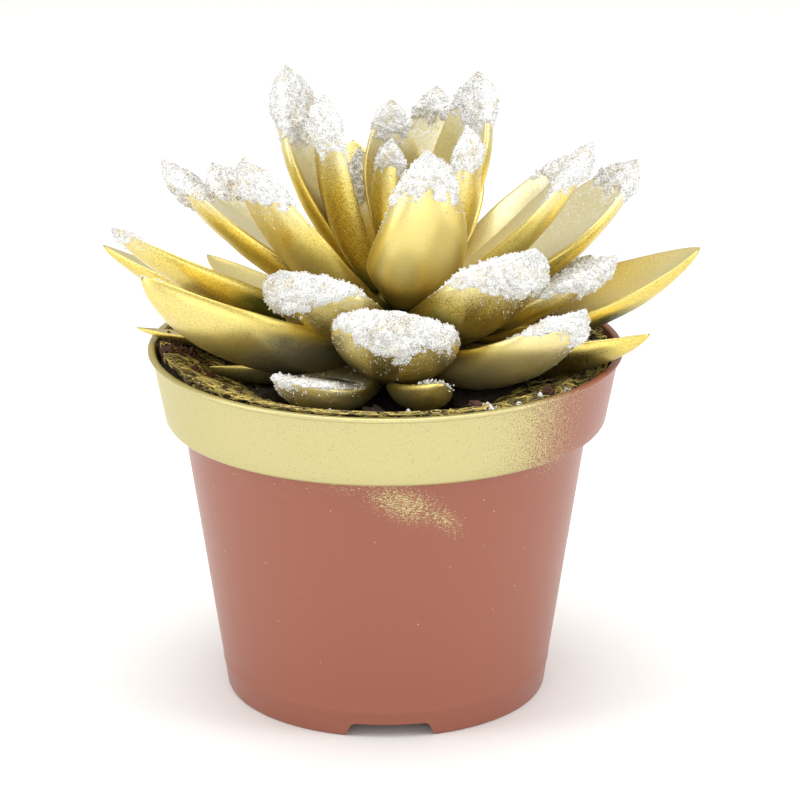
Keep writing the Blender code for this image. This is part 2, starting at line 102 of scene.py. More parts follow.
# Soil, as its solid, with crumbs
SOIL_GAP = 0.4
SOIL_LEVEL = 64.4
SOIL_DISH = 2.4
SOIL_DISH_RADIUS = 32.0
SOIL_RELIEF = 0.45
LOW_RISE = 18
SOIL_PRESS_POINTS = 20
SOIL_PRESS_REACH = 2.0
SOIL_PRESS_GAP = 0.6
SOIL_LUMP = 5.0
SOIL_HEAP = 2.0
SOIL_HEAP_RADIUS = 33.0
SOIL_HEAP_REACH = 8.0
SOIL_CRUMB = 1.7
SOIL_CRUMB_RELIEF = 0.55
SOIL_RINGS = 64
SOIL_SIDES = 220

# Stem and leaves, as their solid
STEM_X = 2.0
STEM_FOOT = 55.0
STEM_TOP = 80.0
STEM_RADIUS = 4.3
ROOT_REACH = 1.5
ROOT_LOW = 69.0
ROOT_CLIMB = 11.0
WIDEST = 0.60
ROOT_BREADTH = 0.38
ROOT_ROUND = 0.07
TIP_FULLNESS = 1.8
TIP_POINT = 0.8
DEEPEST = 0.35
ROOT_DEPTH = 0.6
BELLY_FULLNESS = 2.2
BELLY_POINT = 0.7
SHOULDER = 0.16
CHANNEL = 0.20
LEAF_SIDES = 36
LEAF_RINGS = 38
MARGIN_LIFT = 0.30
MARGIN_WIDTH = 0.8
DIMPLE = 0.16
DIMPLE_SIZE = 6.0

# Where the spray missed the leaves, and where their bellies are darkened as painted shade:
# how far along from the root, how near the stem and how low under the crown
MISSED_AND_SHADED_MOST = 0.80
MISSED_ROOT = 0.38
MISSED_AND_SHADED_FADE = 0.34
SHADED_BELLY = 0.36
MISSED_RADIUS = 19.0
MISSED_RADIUS_FADE = 13.0
SHADE_LEVEL = 94.0
SHADE_LEVEL_FADE = 12.0

# Snow dust, painted highlight and paint grain on the leaves
COMMON_DUST_AND_HIGHLIGHT = 0.15
DUST_BY_CRUST = 0.52
DUST_REACH = 7.0
COMMON_GRAIN = 0.62
GRAIN_DRIFT = 0.35
GRAIN_DRIFT_SIZE = 11.0

# Snow crust, as its solid, with grains and a ragged edge
SNOW_THINNEST = 0.35
SNOW_LUMP = 2.4
SNOW_EDGE_WANDER = 0.05
SNOW_EDGE_WAVES = 1.6
SNOW_EDGE_THIN = 0.3
SNOW_EDGE_REACH = 0.35
SNOW_TIP_THIN = 0.25
SNOW_TIP_REACH = 0.45
SNOW_MARGIN_THIN = 0.6
SNOW_SPILL = 2.0
SNOW_SUNK = 0.35
SNOW_FACE = 0.36

# The crust's ragged edge and crumbs, each with the width of its waves or cells
SNOW_RAGGED = 1.9
SNOW_RAGGED_SIZE = 2.4
SNOW_RAGGED_FINE = 2.0
SNOW_RAGGED_FINE_SIZE = 0.8
SNOW_EDGE_RISE = 1.1
SNOW_BASE = 0.12
SNOW_FILL = 0.85
SNOW_CLUMP = 0.75
SNOW_CLUMP_SIZE = 1.5
SNOW_CRUMB = 0.60
SNOW_CRUMB_SIZE = 0.7
SNOW_PORE = 0.35
SNOW_PORE_SIZE = 0.9
SNOW_SPILT_SHARE = 0.2
SNOW_SPILT_REACH = 1.8

# Azimuth is the way a leaf points, 0 to the front and 90 to the right, and
# rise is the slope of the line from its root to its tip. Length, breadth and
# the depth of the belly are millimetres. Bend is how far the leaf curls up
# from root to tip, and roll lifts its left-hand margin, seen from the root.
# Top and under are the shares of the length that the crust covers on the
# upper face and on the belly, 0 for a bare leaf, and crust is its thickness.
# Widest is the share of the length at which the leaf is broadest.
Leaf = namedtuple("Leaf", "name azimuth rise length breadth depth bend roll"
                          " top under crust widest", defaults=(WIDEST,))

LEAVES = (
    Leaf("heart_1", -20, 88, 28.5, 8, 3, 10, 0, 0.22, 0.2, 0.9),
    Leaf("heart_2", 60, 84, 20, 7, 3, 10, 0, 0, 0, 0),
    Leaf("heart_3", 170, 84, 21, 7, 3, 10, 0, 0, 0, 0),
    Leaf("crown_1", 22, 67, 34.5, 19.5, 7, 48, 0, 0.36, 0.22, 1.3, 0.36),
    Leaf("crown_2", 70, 70, 36, 13, 5, 35, 0, 0.3, 0.2, 1.2),
    Leaf("crown_3", 120, 68, 44.5, 17, 5, 20, 0, 0.24, 0.2, 1.5),
    Leaf("crown_4", 160, 59, 42.5, 14, 5, 15, 0, 0.18, 0.16, 1.5),
    Leaf("crown_5", -172, 82, 35, 11, 4, 12, 0, 0.22, 0.16, 1.2),
    Leaf("crown_6", -73, 73, 41.5, 13, 5, 20, 0, 0.3, 0.24, 1.5),
    Leaf("crown_7", -112, 64, 48, 19, 5, 20, 0, 0.32, 0.22, 1.6),
    Leaf("crown_8", -155, 60, 30, 8, 4, 15, 0, 0.40, 0.36, 0.8),
    Leaf("middle_1", 1, 22, 32, 24, 9, 50, -8, 0.46, 0.2, 1.8),
    Leaf("middle_2", 46, 31.5, 39, 20, 8, 24, -12, 0.5, 0.2, 1.8),
    Leaf("middle_3", 76, 22, 44, 13, 5, 25, 0, 0.44, 0.22, 1.4),
    Leaf("middle_4", 84, 44, 49, 15, 5, 20, 0, 0.26, 0.18, 1.4),
    Leaf("middle_5", 108, 30, 54.5, 22, 6, 22, 0, 0.16, 0.14, 1.5),
    Leaf("middle_6", 135, 27, 52, 14, 5, 20, 0, 0.14, 0.12, 1.4),
    Leaf("middle_7", 158, 34, 46, 14, 5, 20, 0, 0, 0, 0),
    Leaf("middle_8", -165, 40, 40, 14, 5, 20, 0, 0, 0, 0),
    Leaf("middle_9", -130, 27, 51, 15, 5, 20, 0, 0.22, 0.18, 1.5),
    Leaf("middle_10", -98, 34, 52, 16, 5, 13, 10, 0.24, 0.18, 1.5),
    Leaf("middle_11", -61, 48, 45, 22, 6, 22, 0, 0.28, 0.16, 1.5),
    Leaf("middle_12", -44, 29, 33, 20, 7, 22, 14, 0.5, 0.24, 1.8),
    Leaf("outer_1", 14, 2, 32, 11.5, 5, 60, -12, 0, 0, 0),
    Leaf("outer_2", 53, 15.5, 43, 17, 7, 62, -15, 0.34, 0.12, 1.6),
    Leaf("outer_3", 85, 17, 58, 18, 6.8, 25, 10, 0, 0, 0),
    Leaf("outer_4", 71, 5.9, 48.4, 13, 6.6, 20, -14, 0, 0, 0),
    Leaf("outer_5", 110, 15, 40, 11, 4, 20, 0, 0.30, 0.18, 1.4),
    Leaf("outer_6", 122, 8, 50, 15, 5, 20, 0, 0, 0, 0),
    Leaf("outer_7", 148, 14, 50, 15, 5, 20, 0, 0.24, 0.14, 1.4),
    Leaf("outer_8", 168, 5, 50, 14, 4, 20, 0, 0, 0, 0),
    Leaf("outer_9", -178, 20, 48, 15, 5, 20, 0, 0.24, 0.14, 1.4),
    Leaf("outer_10", -160, 8, 50, 14, 4, 20, 0, 0, 0, 0),
    Leaf("outer_11", -138, 4, 55, 12, 4, 20, 0, 0, 0, 0),
    Leaf("outer_12", -122, 6, 46, 12, 4, 20, 0, 0, 0, 0),
    Leaf("outer_13", -100, 14, 57, 13, 5, 20, 10, 0, 0, 0),
    Leaf("outer_14", -85, 21.5, 56, 14, 5, 22, 22, 0.11, 0.08, 0.9),
    Leaf("outer_15", -93, 1.3, 48, 12, 3, 15, 12, 0, 0, 0),
    Leaf("outer_16", -75, -3.8, 35, 10, 4.5, 18, 20, 0, 0, 0),
    Leaf("outer_17", -66, 18, 52, 20, 8, 43, 21, 0, 0, 0),
    Leaf("outer_18", -31, 4, 39, 15, 6, 52, 0, 0.50, 0.06, 1.2),
)


def linear(hex_colour):
    """Linear red, green and blue of an sRGB hex value."""
    channels = (int(hex_colour[i:i + 2], 16) / 255.0 for i in (1, 3, 5))
    return tuple(c / 12.92 if c <= 0.04045 else ((c + 0.055) / 1.055) ** 2.4
                 for c in channels)


def colour_property(name, description, hex_colour):
    return bpy.props.FloatVectorProperty(
        name=name, description=description, subtype="COLOR", size=3, min=0.0, max=1.0,
        default=linear(hex_colour))


# Settings

class PotSettings(bpy.types.PropertyGroup):
    """Colours and finish of the pot."""
    plastic: colour_property("Plastic", "Terracotta-coloured plastic", "#8E513D")
    paint: colour_property("Rim paint", "Gold paint sprayed on the rim", "#C6BD88")
    gloss: bpy.props.FloatProperty(
        name="Roughness", description="Roughness of the bare plastic",
        subtype="FACTOR", min=0.05, max=1.0, default=0.34)


class LeafSettings(bpy.types.PropertyGroup):
    """Colours and grain of the sprayed leaves."""
    gold: colour_property("Gold", "Gold paint on the leaves", "#E0CB70")
    # Painted highlight with snow dust: the pale colour that upper faces and some bellies are
    # mixed towards
    pale: colour_property("Pale gold", "Gold paint under a bloom of snow dust", "#F6F1D0")
    shade: colour_property("Dark flakes", "Paint between the bright flakes", "#957D2A")
    bare: colour_property("Bare leaf", "Leaf that the spray missed", "#56601E")
    # Painted shade: the dark colour of thinly sprayed leaf bellies low under the crown, darker
    # than the bare leaf where shade falls
    shadow: colour_property("Thin paint", "Leaf that little spray reached from below", "#4A3D12")
    grain: bpy.props.FloatProperty(
        name="Grain", description="Width of a clump of metal flakes, drawn coarse enough to show",
        unit="LENGTH", precision=5, min=0.0001, max=0.002, default=0.0003)


class SnowSettings(bpy.types.PropertyGroup):
    """Grains of the artificial snow."""
    white: colour_property("White", "Snow grains", "#EEEEEC")
    beneath: colour_property("Beneath", "Gold that shows in the pores", "#C6AC5C")
    grain: bpy.props.FloatProperty(
        name="Grain", description="Radius of a common grain",
        unit="LENGTH", precision=5, min=0.00005, max=0.001, default=0.0002)
    density: bpy.props.FloatProperty(
        name="Density", description="Loose grains on each square millimetre of crust",
        min=0.0, max=12.0, default=4.6)


class SoilSettings(bpy.types.PropertyGroup):
    """Colours of the soil and its fibres."""
    peat: colour_property("Peat", "Damp peat", "#2B2013")
    fibre: colour_property("Fibre", "Coir fibre with gold overspray", "#D6C068")
    dark_fibre: colour_property("Dark fibre", "Coir fibre that the spray missed", "#33270F")
    fibres: bpy.props.IntProperty(
        name="Fibres", description="How many coir fibres lie on the soil",
        min=0, max=3000, default=2250)


class StageSettings(bpy.types.PropertyGroup):
    """Floor, light and camera."""
    floor: colour_property("Floor", "Plain pale floor", "#F6F6F4")
    distance: bpy.props.FloatProperty(
        name="Camera distance", description="From the pot's axis to the camera, along the floor",
        unit="LENGTH", min=0.1, max=10.0, default=0.6525)
    height: bpy.props.FloatProperty(
        name="Camera height", description="Of the camera over the floor",
        unit="LENGTH", min=0.0, max=10.0, default=0.27315)
    pitch: bpy.props.FloatProperty(
        name="Camera pitch", description="How far the camera looks down",
        subtype="ANGLE", default=math.radians(18.37))
    turn: bpy.props.FloatProperty(
        name="Camera turn", description="How far the camera looks to the right",
        subtype="ANGLE", default=math.radians(0.24))
    lens: bpy.props.FloatProperty(
        name="Lens", description="Focal length in millimetres on a sensor 36 mm wide",
        min=10.0, max=500.0, default=162.45)


SETTINGS = {
    "echeveria_pot": PotSettings,
    "echeveria_leaf": LeafSettings,
    "echeveria_snow": SnowSettings,
    "echeveria_soil": SoilSettings,
    "echeveria_stage": StageSettings,
}


# Helpers

def smooth(share):
    share = min(max(share, 0.0), 1.0)
    return share * share * (3.0 - 2.0 * share)


def deselect():
    if bpy.context.mode != "OBJECT":
        bpy.ops.object.mode_set(mode="OBJECT")
    bpy.ops.object.select_all(action="DESELECT")


def activate(obj):
    """Select one object alone and make it the active one."""
    deselect()
    obj.select_set(True)
    bpy.context.view_layer.objects.active = obj


def settle(obj):
    """Put the object's place into its mesh, so that its origin is the world's."""
    activate(obj)
    bpy.ops.object.transform_apply(location=True, rotation=True, scale=True)


def dress(obj, name, material, record_slot, *nodes):
    """Name a finished piece, give it its material and tie it to the frame."""
    obj.name = name
    obj.data.name = name
    obj.data.materials.clear()
    obj.data.materials.append(material)
    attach(obj, "root")
    if nodes:
        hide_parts(*nodes)
    return obj


def join(objects):
    """Join objects into the first one."""
    activate(objects[0])
    for obj in objects:
        obj.select_set(True)
    bpy.ops.object.join()
    return objects[0]


def store(obj, name, values):
    """Keep one number for each vertex, for a material to read."""
    attribute = obj.data.attributes.new(name, "FLOAT", "POINT")
    attribute.data.foreach_set("value", values)


def turned(name, profile, sides):
    """A closed turned shape, grown ring by ring along a profile of (radius, height)."""
    deselect()
    radius, height = profile[0]
    centre = AXIS + Vector((0.0, 0.0, height * MM))
    bpy.ops.mesh.primitive_circle_add(vertices=sides, radius=radius * MM,
                                      fill_type="NGON", location=centre)
    obj = bpy.context.active_object
    bpy.ops.object.mode_set(mode="EDIT")
    bpy.ops.mesh.select_all(action="SELECT")
    for (r0, z0), (r1, z1) in zip(profile, profile[1:]):
        bpy.ops.mesh.extrude_region_move(
            TRANSFORM_OT_translate={"value": (0.0, 0.0, (z1 - z0) * MM)})
        bpy.ops.transform.resize(value=(r1 / r0, r1 / r0, 1.0),
                                 center_override=AXIS + Vector((0.0, 0.0, z1 * MM)))
    bpy.ops.mesh.select_all(action="SELECT")
    bpy.ops.mesh.normals_make_consistent(inside=False)
    bpy.ops.object.mode_set(mode="OBJECT")
    obj.name = name
    settle(obj)
    return obj


def cut_away(obj, cutter):
    """Take one solid out of another and drop the cutter."""
    settle(cutter)
    activate(obj)
    boolean = obj.modifiers.new(cutter.name, "BOOLEAN")
    boolean.operation = "DIFFERENCE"
    boolean.solver = "EXACT"
    boolean.object = cutter
    bpy.ops.object.modifier_apply(modifier=boolean.name)
    bpy.data.objects.remove(cutter, do_unlink=True)


def shade(obj, degrees=None):
    """Shade smooth, or smooth with edges sharper than an angle left crisp."""
    activate(obj)
    if degrees is None:
        bpy.ops.object.shade_smooth()
    else:
        bpy.ops.object.shade_smooth_by_angle(angle=math.radians(degrees))


# Leaf form, repeated from the solids

def closing(t):
    """Rounds the root end shut."""
    if t >= ROOT_ROUND:
        return 1.0
    return math.sqrt(max(0.0, 1.0 - (1.0 - t / ROOT_ROUND) ** 2))


def half_breadth(leaf, t):
    if t < leaf.widest:
        share = ROOT_BREADTH + (1.0 - ROOT_BREADTH) * smooth(t / leaf.widest)
        return 0.5 * leaf.breadth * share * closing(t)
    u = (t - leaf.widest) / (1.0 - leaf.widest)
    return 0.5 * leaf.breadth * max(0.0, 1.0 - u ** TIP_FULLNESS) ** TIP_POINT


def belly_depth(leaf, t):
    if t < DEEPEST:
        share = ROOT_DEPTH + (1.0 - ROOT_DEPTH) * smooth(t / DEEPEST)
        return leaf.depth * share * closing(t)
    u = (t - DEEPEST) / (1.0 - DEEPEST)
    return leaf.depth * max(0.0, 1.0 - u ** BELLY_FULLNESS) ** BELLY_POINT


def leaf_frame(leaf):
    """Root point, and the directions along, across and out of the upper face."""
    azimuth, rise, roll = (math.radians(angle)
                           for angle in (leaf.azimuth, leaf.rise, leaf.roll))
    outward = Vector((math.sin(azimuth), -math.cos(azimuth), 0.0))
    along = outward * math.cos(rise) + Vector((0.0, 0.0, math.sin(rise)))
    across = Vector((math.cos(azimuth), math.sin(azimuth), 0.0))
    up = along.cross(across)
    turn = Matrix.Rotation(roll, 3, along)
    climb = ROOT_LOW + ROOT_CLIMB * leaf.rise / 90.0
    root = Vector((STEM_X, 0.0, climb)) + outward * ROOT_REACH
    return root, along, turn @ across, turn @ up


FRAMES = {leaf.name: leaf_frame(leaf) for leaf in LEAVES}


def leaf_point(leaf, t, around, fine=0.0):
    """A point of the leaf's skin: around is 0 and half a turn at the margins."""
    root, along, across, up = FRAMES[leaf.name]
    bend = math.radians(leaf.bend)
    radius = 0.5 * leaf.length / math.sin(0.5 * bend)
    lean = bend * (t - 0.5)
    forward = radius * (math.sin(lean) + math.sin(0.5 * bend))
    lift = radius * (math.cos(0.5 * bend) - math.cos(lean))
    half = half_breadth(leaf, t)
    rise = math.sin(around)
    side = math.cos(around)
    if rise >= 0.0:
        height = half * (SHOULDER * rise - CHANNEL * rise * rise)
        inset = half * (1.0 - abs(side)) / MARGIN_WIDTH
        height += fine * MARGIN_LIFT * min(1.0, half / 3.0) * rise * math.exp(-inset * inset)
    else:
        height = belly_depth(leaf, t) * rise
    forward -= height * math.sin(lean)
    lift += height * math.cos(lean)
    return root + along * forward + across * (half * side) + up * lift


def leaf_skin(leaf, t, around):
    """A point of the leaf's skin and the way out of it."""
    step = 0.01
    t = min(max(t, 0.02), 0.985)
    point = leaf_point(leaf, t, around)
    along = (leaf_point(leaf, t + step, around) - point).normalized()
    beside = leaf_point(leaf, t, around + step) - point
    out = beside.cross(along).normalized()
    return point, out.lerp(along, smooth((t - 0.88) / 0.10)).normalized()


def place_on_leaf(vert):
    """Share of the way from root to tip, and the angle around, of a unit sphere's vertex."""
    share = math.acos(max(-1.0, min(1.0, -vert.co.z))) / math.pi
    return share, math.atan2(vert.co.y, vert.co.x)


# Soil form, repeated from the solid and crumbled

def low_bellies(gap, reach_of):
    """Points under the lowest leaves, each with the reach within which it keeps all below."""
    points = []
    for leaf in LEAVES:
        if leaf.rise > LOW_RISE:
            continue
        for step in range(1, SOIL_PRESS_POINTS):
            share = step / SOIL_PRESS_POINTS
            belly = leaf_point(leaf, share, -0.5 * math.pi)
            points.append((belly.x, belly.y, belly.z - gap, reach_of(leaf, share)))
    return points


PRESSING = low_bellies(SOIL_PRESS_GAP,
                       lambda leaf, share: 0.5 * leaf.breadth + SOIL_PRESS_REACH)


def kept_below(points, x, y, level):
    """The level, kept below the bellies that are near."""
    for px, py, pz, near in points:
        if math.hypot(x - px, y - py) < near:
            level = min(level, pz)
    return level


def open_soil_height(x, y):
    """Level of the soil, as if no leaf pressed on it."""
    spot = Vector((x, y, 0.0))
    reach = math.hypot(x, y)
    dish = SOIL_DISH * (1.0 - smooth(reach / SOIL_DISH_RADIUS))
    heap = SOIL_HEAP * smooth((reach - SOIL_HEAP_RADIUS) / SOIL_HEAP_REACH)
    return SOIL_LEVEL - dish + heap + SOIL_RELIEF * noise.noise(spot / SOIL_LUMP)


def soil_height(x, y):
    level = kept_below(PRESSING, x, y, open_soil_height(x, y))
    crumbs = noise.fractal(Vector((x, y, 0.0)) / SOIL_CRUMB, 0.8, 2.1, 4)
    return level + SOIL_CRUMB_RELIEF * crumbs


def body_radius(height):
    share = height / RIM_BOTTOM
    return BASE_RADIUS + (BODY_TOP_RADIUS - BASE_RADIUS) * share


def rim_radius(height):
    share = (height - RIM_BOTTOM) / (POT_HEIGHT - RIM_BOTTOM)
    return RIM_BOTTOM_RADIUS + (LIP_RADIUS - BEAD_REACH - RIM_BOTTOM_RADIUS) * share


def inner_radius(height):
    if height < RIM_BOTTOM + WALL:
        return body_radius(height) - WALL
    return rim_radius(height) - WALL


# Materials

def set_inputs(tree, node, inputs):
    """Give a node's inputs their values or links."""
    for name, value in inputs.items():
        if isinstance(value, bpy.types.NodeSocket):
            tree.links.new(value, node.inputs[name])
        else:
            node.inputs[name].default_value = value


def add_node(tree, kind, inputs=None, **settings):
    """Add a node with its settings, and give its inputs values or links."""
    node = tree.nodes.new(kind)
    for name, value in settings.items():
        setattr(node, name, value)
    set_inputs(tree, node, inputs or {})
    return node


def new_material(name):
    """A material with a node tree, and its Principled shader."""
    material = bpy.data.materials.new(name)
    material.use_nodes = True
    return material, material.node_tree, material.node_tree.nodes["Principled BSDF"]


def opaque(colour, share=1.0):
    """A colour for a socket, made darker or lighter by a share."""
    return (*(share * c for c in colour), 1.0)


def pot_coordinates(tree):
    """Position about the pot's axis, in millimetres."""
    where = add_node(tree, "ShaderNodeTexCoord").outputs["Object"]
    return add_node(tree, "ShaderNodeMapping", {
        "Vector": where, "Location": tuple(-c / MM for c in AXIS),
        "Scale": (1 / MM, 1 / MM, 1 / MM)}).outputs["Vector"]


def gold_leaf_paint(settings):
    """Metal flake paint, sprayed. It gives a satin metal with a fine dark grain, and it
    thins to the bare green leaf deep in the crown. Bellies low under the crown are darkened
    as painted shade, and upper faces and some bellies are paled as painted highlight with snow
    dust."""
    material, tree, shader = new_material("gold flake spray paint on leaf")
    where = add_node(tree, "ShaderNodeTexCoord").outputs["Object"]
    grain = add_node(tree, "ShaderNodeTexNoise", {
        "Vector": where, "Scale": 1.0 / settings.grain, "Detail": 2.0,
        "Roughness": 0.6}).outputs["Fac"]
    drift = add_node(tree, "ShaderNodeTexNoise", {
        "Vector": where, "Scale": 1.0 / (7.0 * MM), "Detail": 2.0}).outputs["Fac"]
    # Of these attributes, the second holds leaf that the spray missed together with painted shade
    # on low bellies, and the third snow dust together with painted highlight
    grainy, bare, dust_and_highlight = (
        add_node(tree, "ShaderNodeAttribute", attribute_name=name).outputs["Fac"]
        for name in ("grainy", "bare", "dust_and_highlight"))
    flake = add_node(tree, "ShaderNodeMapRange", {
        "Value": grain, "From Min": 0.54, "From Max": 0.34,
        "To Min": 0.0, "To Max": 0.8}).outputs["Result"]
    dark = add_node(tree, "ShaderNodeMath", {0: flake, 1: grainy},
                    operation="MULTIPLY").outputs[0]
    painted = add_node(tree, "ShaderNodeMix", {
        "Factor": dark, 6: opaque(settings.gold), 7: opaque(settings.shade)},
        data_type="RGBA").outputs[2]
    patchy = add_node(tree, "ShaderNodeMath", {0: drift, 1: grain}, operation="ADD").outputs[0]
    patchy = add_node(tree, "ShaderNodeMath", {0: patchy, 1: 0.5, 2: -0.5},
                      operation="MULTIPLY_ADD").outputs[0]
    missed = add_node(tree, "ShaderNodeMath", {0: patchy, 1: bare}, operation="ADD").outputs[0]
    missed = add_node(tree, "ShaderNodeMapRange", {
        "Value": missed, "From Min": 0.38, "From Max": 0.78}).outputs["Result"]
    # Painted shade: the missed skin takes the dark shadow colour below 74 mm and the bare green
    # above 80 mm
    level = add_node(tree, "ShaderNodeSeparateXYZ", {"Vector": where}).outputs["Z"]
    high = add_node(tree, "ShaderNodeMapRange", {
        "Value": level, "From Min": 74.0 * MM, "From Max": 80.0 * MM}).outputs["Result"]
    skin = add_node(tree, "ShaderNodeMix", {
        "Factor": high, 6: opaque(settings.shadow), 7: opaque(settings.bare)},
        data_type="RGBA").outputs[2]
    leafy = add_node(tree, "ShaderNodeMix", {
        "Factor": missed, 6: painted, 7: skin}, data_type="RGBA").outputs[2]
    dust = add_node(tree, "ShaderNodeTexNoise", {
        "Vector": where, "Scale": 1.0 / (0.55 * MM), "Detail": 3.0,
        "Roughness": 0.7}).outputs["Fac"]
    dust = add_node(tree, "ShaderNodeMath", {0: dust, 1: dust_and_highlight}, operation="ADD").outputs[0]
    dust = add_node(tree, "ShaderNodeMapRange", {
        "Value": dust, "From Min": 1.02, "From Max": 1.10}).outputs["Result"]
    # Painted highlight with snow dust: the paint is mixed towards pale gold and dulled
    bloom = add_node(tree, "ShaderNodeMath", {0: dust_and_highlight, 1: 1.2}, operation="MULTIPLY",
                     use_clamp=True).outputs[0]
    highlighted = add_node(tree, "ShaderNodeMix", {
        "Factor": bloom, 6: leafy, 7: opaque(settings.pale)},
        data_type="RGBA").outputs[2]
    coloured = add_node(tree, "ShaderNodeMix", {
        "Factor": dust, 6: highlighted, 7: opaque(linear("#F0F0ED"))},
        data_type="RGBA").outputs[2]
    thin_paint_and_shade = add_node(tree, "ShaderNodeMath", {0: missed, 1: 0.4},
                          operation="MULTIPLY").outputs[0]
    unpainted_and_shaded = add_node(tree, "ShaderNodeMath", {0: thin_paint_and_shade, 1: dust},
                         operation="MAXIMUM").outputs[0]
    hazy = add_node(tree, "ShaderNodeMath", {0: dust_and_highlight, 1: 0.7}, operation="MULTIPLY").outputs[0]
    dull = add_node(tree, "ShaderNodeMath", {0: hazy, 1: unpainted_and_shaded},
                    operation="MAXIMUM").outputs[0]
    metal = add_node(tree, "ShaderNodeMapRange", {
        "Value": dull, "To Min": 0.95, "To Max": 0.1}).outputs["Result"]
    rough = add_node(tree, "ShaderNodeMapRange", {
        "Value": unpainted_and_shaded, "To Min": 0.37, "To Max": 0.7}).outputs["Result"]
    bump = add_node(tree, "ShaderNodeBump", {
        "Height": grain, "Strength": 0.6, "Distance": 0.05 * MM}).outputs["Normal"]
    set_inputs(tree, shader, {
        "Base Color": coloured, "Metallic": metal, "Roughness": rough, "Normal": bump,
        "Coat Weight": 0.18, "Coat Roughness": 0.25})
    return material


def snow_grains(settings):
    """Crushed plastic flake in glue, sold as artificial snow. It gives a matt white that
    light enters a little, so its pores stay pale; the hollows between its crumbs are darkened as
    painted shade."""
    material, tree, shader = new_material("artificial snow flake")
    where = add_node(tree, "ShaderNodeTexCoord").outputs["Object"]
    crumbs = add_node(tree, "ShaderNodeTexVoronoi", {
        "Vector": where, "Scale": 1.0 / (0.36 * MM)}).outputs["Distance"]
    # Painted shade: the hollows between the crumbs are darkened to 0.72 of the white
    height = add_node(tree, "ShaderNodeMapRange", {
        "Value": crumbs, "From Min": 0.95, "From Max": 0.40}).outputs["Result"]
    white = add_node(tree, "ShaderNodeMix", {
        "Factor": height, 6: opaque(settings.white, 0.72),
        7: opaque(settings.white)}, data_type="RGBA").outputs[2]
    pores = add_node(tree, "ShaderNodeTexNoise", {
        "Vector": where, "Scale": 1.0 / (0.26 * MM), "Detail": 2.0,
        "Roughness": 0.7}).outputs["Fac"]
    thin = add_node(tree, "ShaderNodeTexNoise", {
        "Vector": where, "Scale": 1.0 / (3.0 * MM), "Detail": 1.0}).outputs["Fac"]
    thin = add_node(tree, "ShaderNodeMath", {
        0: thin, 1: 0.6, 2: 0.2}, operation="MULTIPLY_ADD").outputs[0]
    pores = add_node(tree, "ShaderNodeMath", {0: pores, 1: thin}, operation="ADD").outputs[0]
    open_pores = add_node(tree, "ShaderNodeMapRange", {
        "Value": pores, "From Min": 1.09, "From Max": 1.22, "To Max": 0.8}).outputs["Result"]
    speckled = add_node(tree, "ShaderNodeMix", {
        "Factor": open_pores, 6: white, 7: opaque(settings.beneath)},
        data_type="RGBA").outputs[2]
    bump = add_node(tree, "ShaderNodeBump", {
        "Height": height, "Strength": 0.8, "Distance": 0.16 * MM}).outputs["Normal"]
    set_inputs(tree, shader, {
        "Base Color": speckled, "Normal": bump, "Roughness": 0.85, "Specular IOR Level": 0.3})
    return material


# Bursts of overspray on the pot, each a soft oval: how far its centre lies round the body
# from the front and how high, the slant of its long axis in degrees, its half length and
# half breadth, and its strength
BURSTS = ((3.5, 49.0, -22.0, 14.0, 6.5, 0.53), (11.0, 45.5, -40.0, 9.5, 4.5, 0.49),
          (36.0, 51.5, -8.0, 14.0, 5.5, 0.41), (-31.0, 51.0, 0.0, 7.0, 3.0, 0.36),
          (-8.0, 52.0, 0.0, 16.0, 3.5, 0.40))


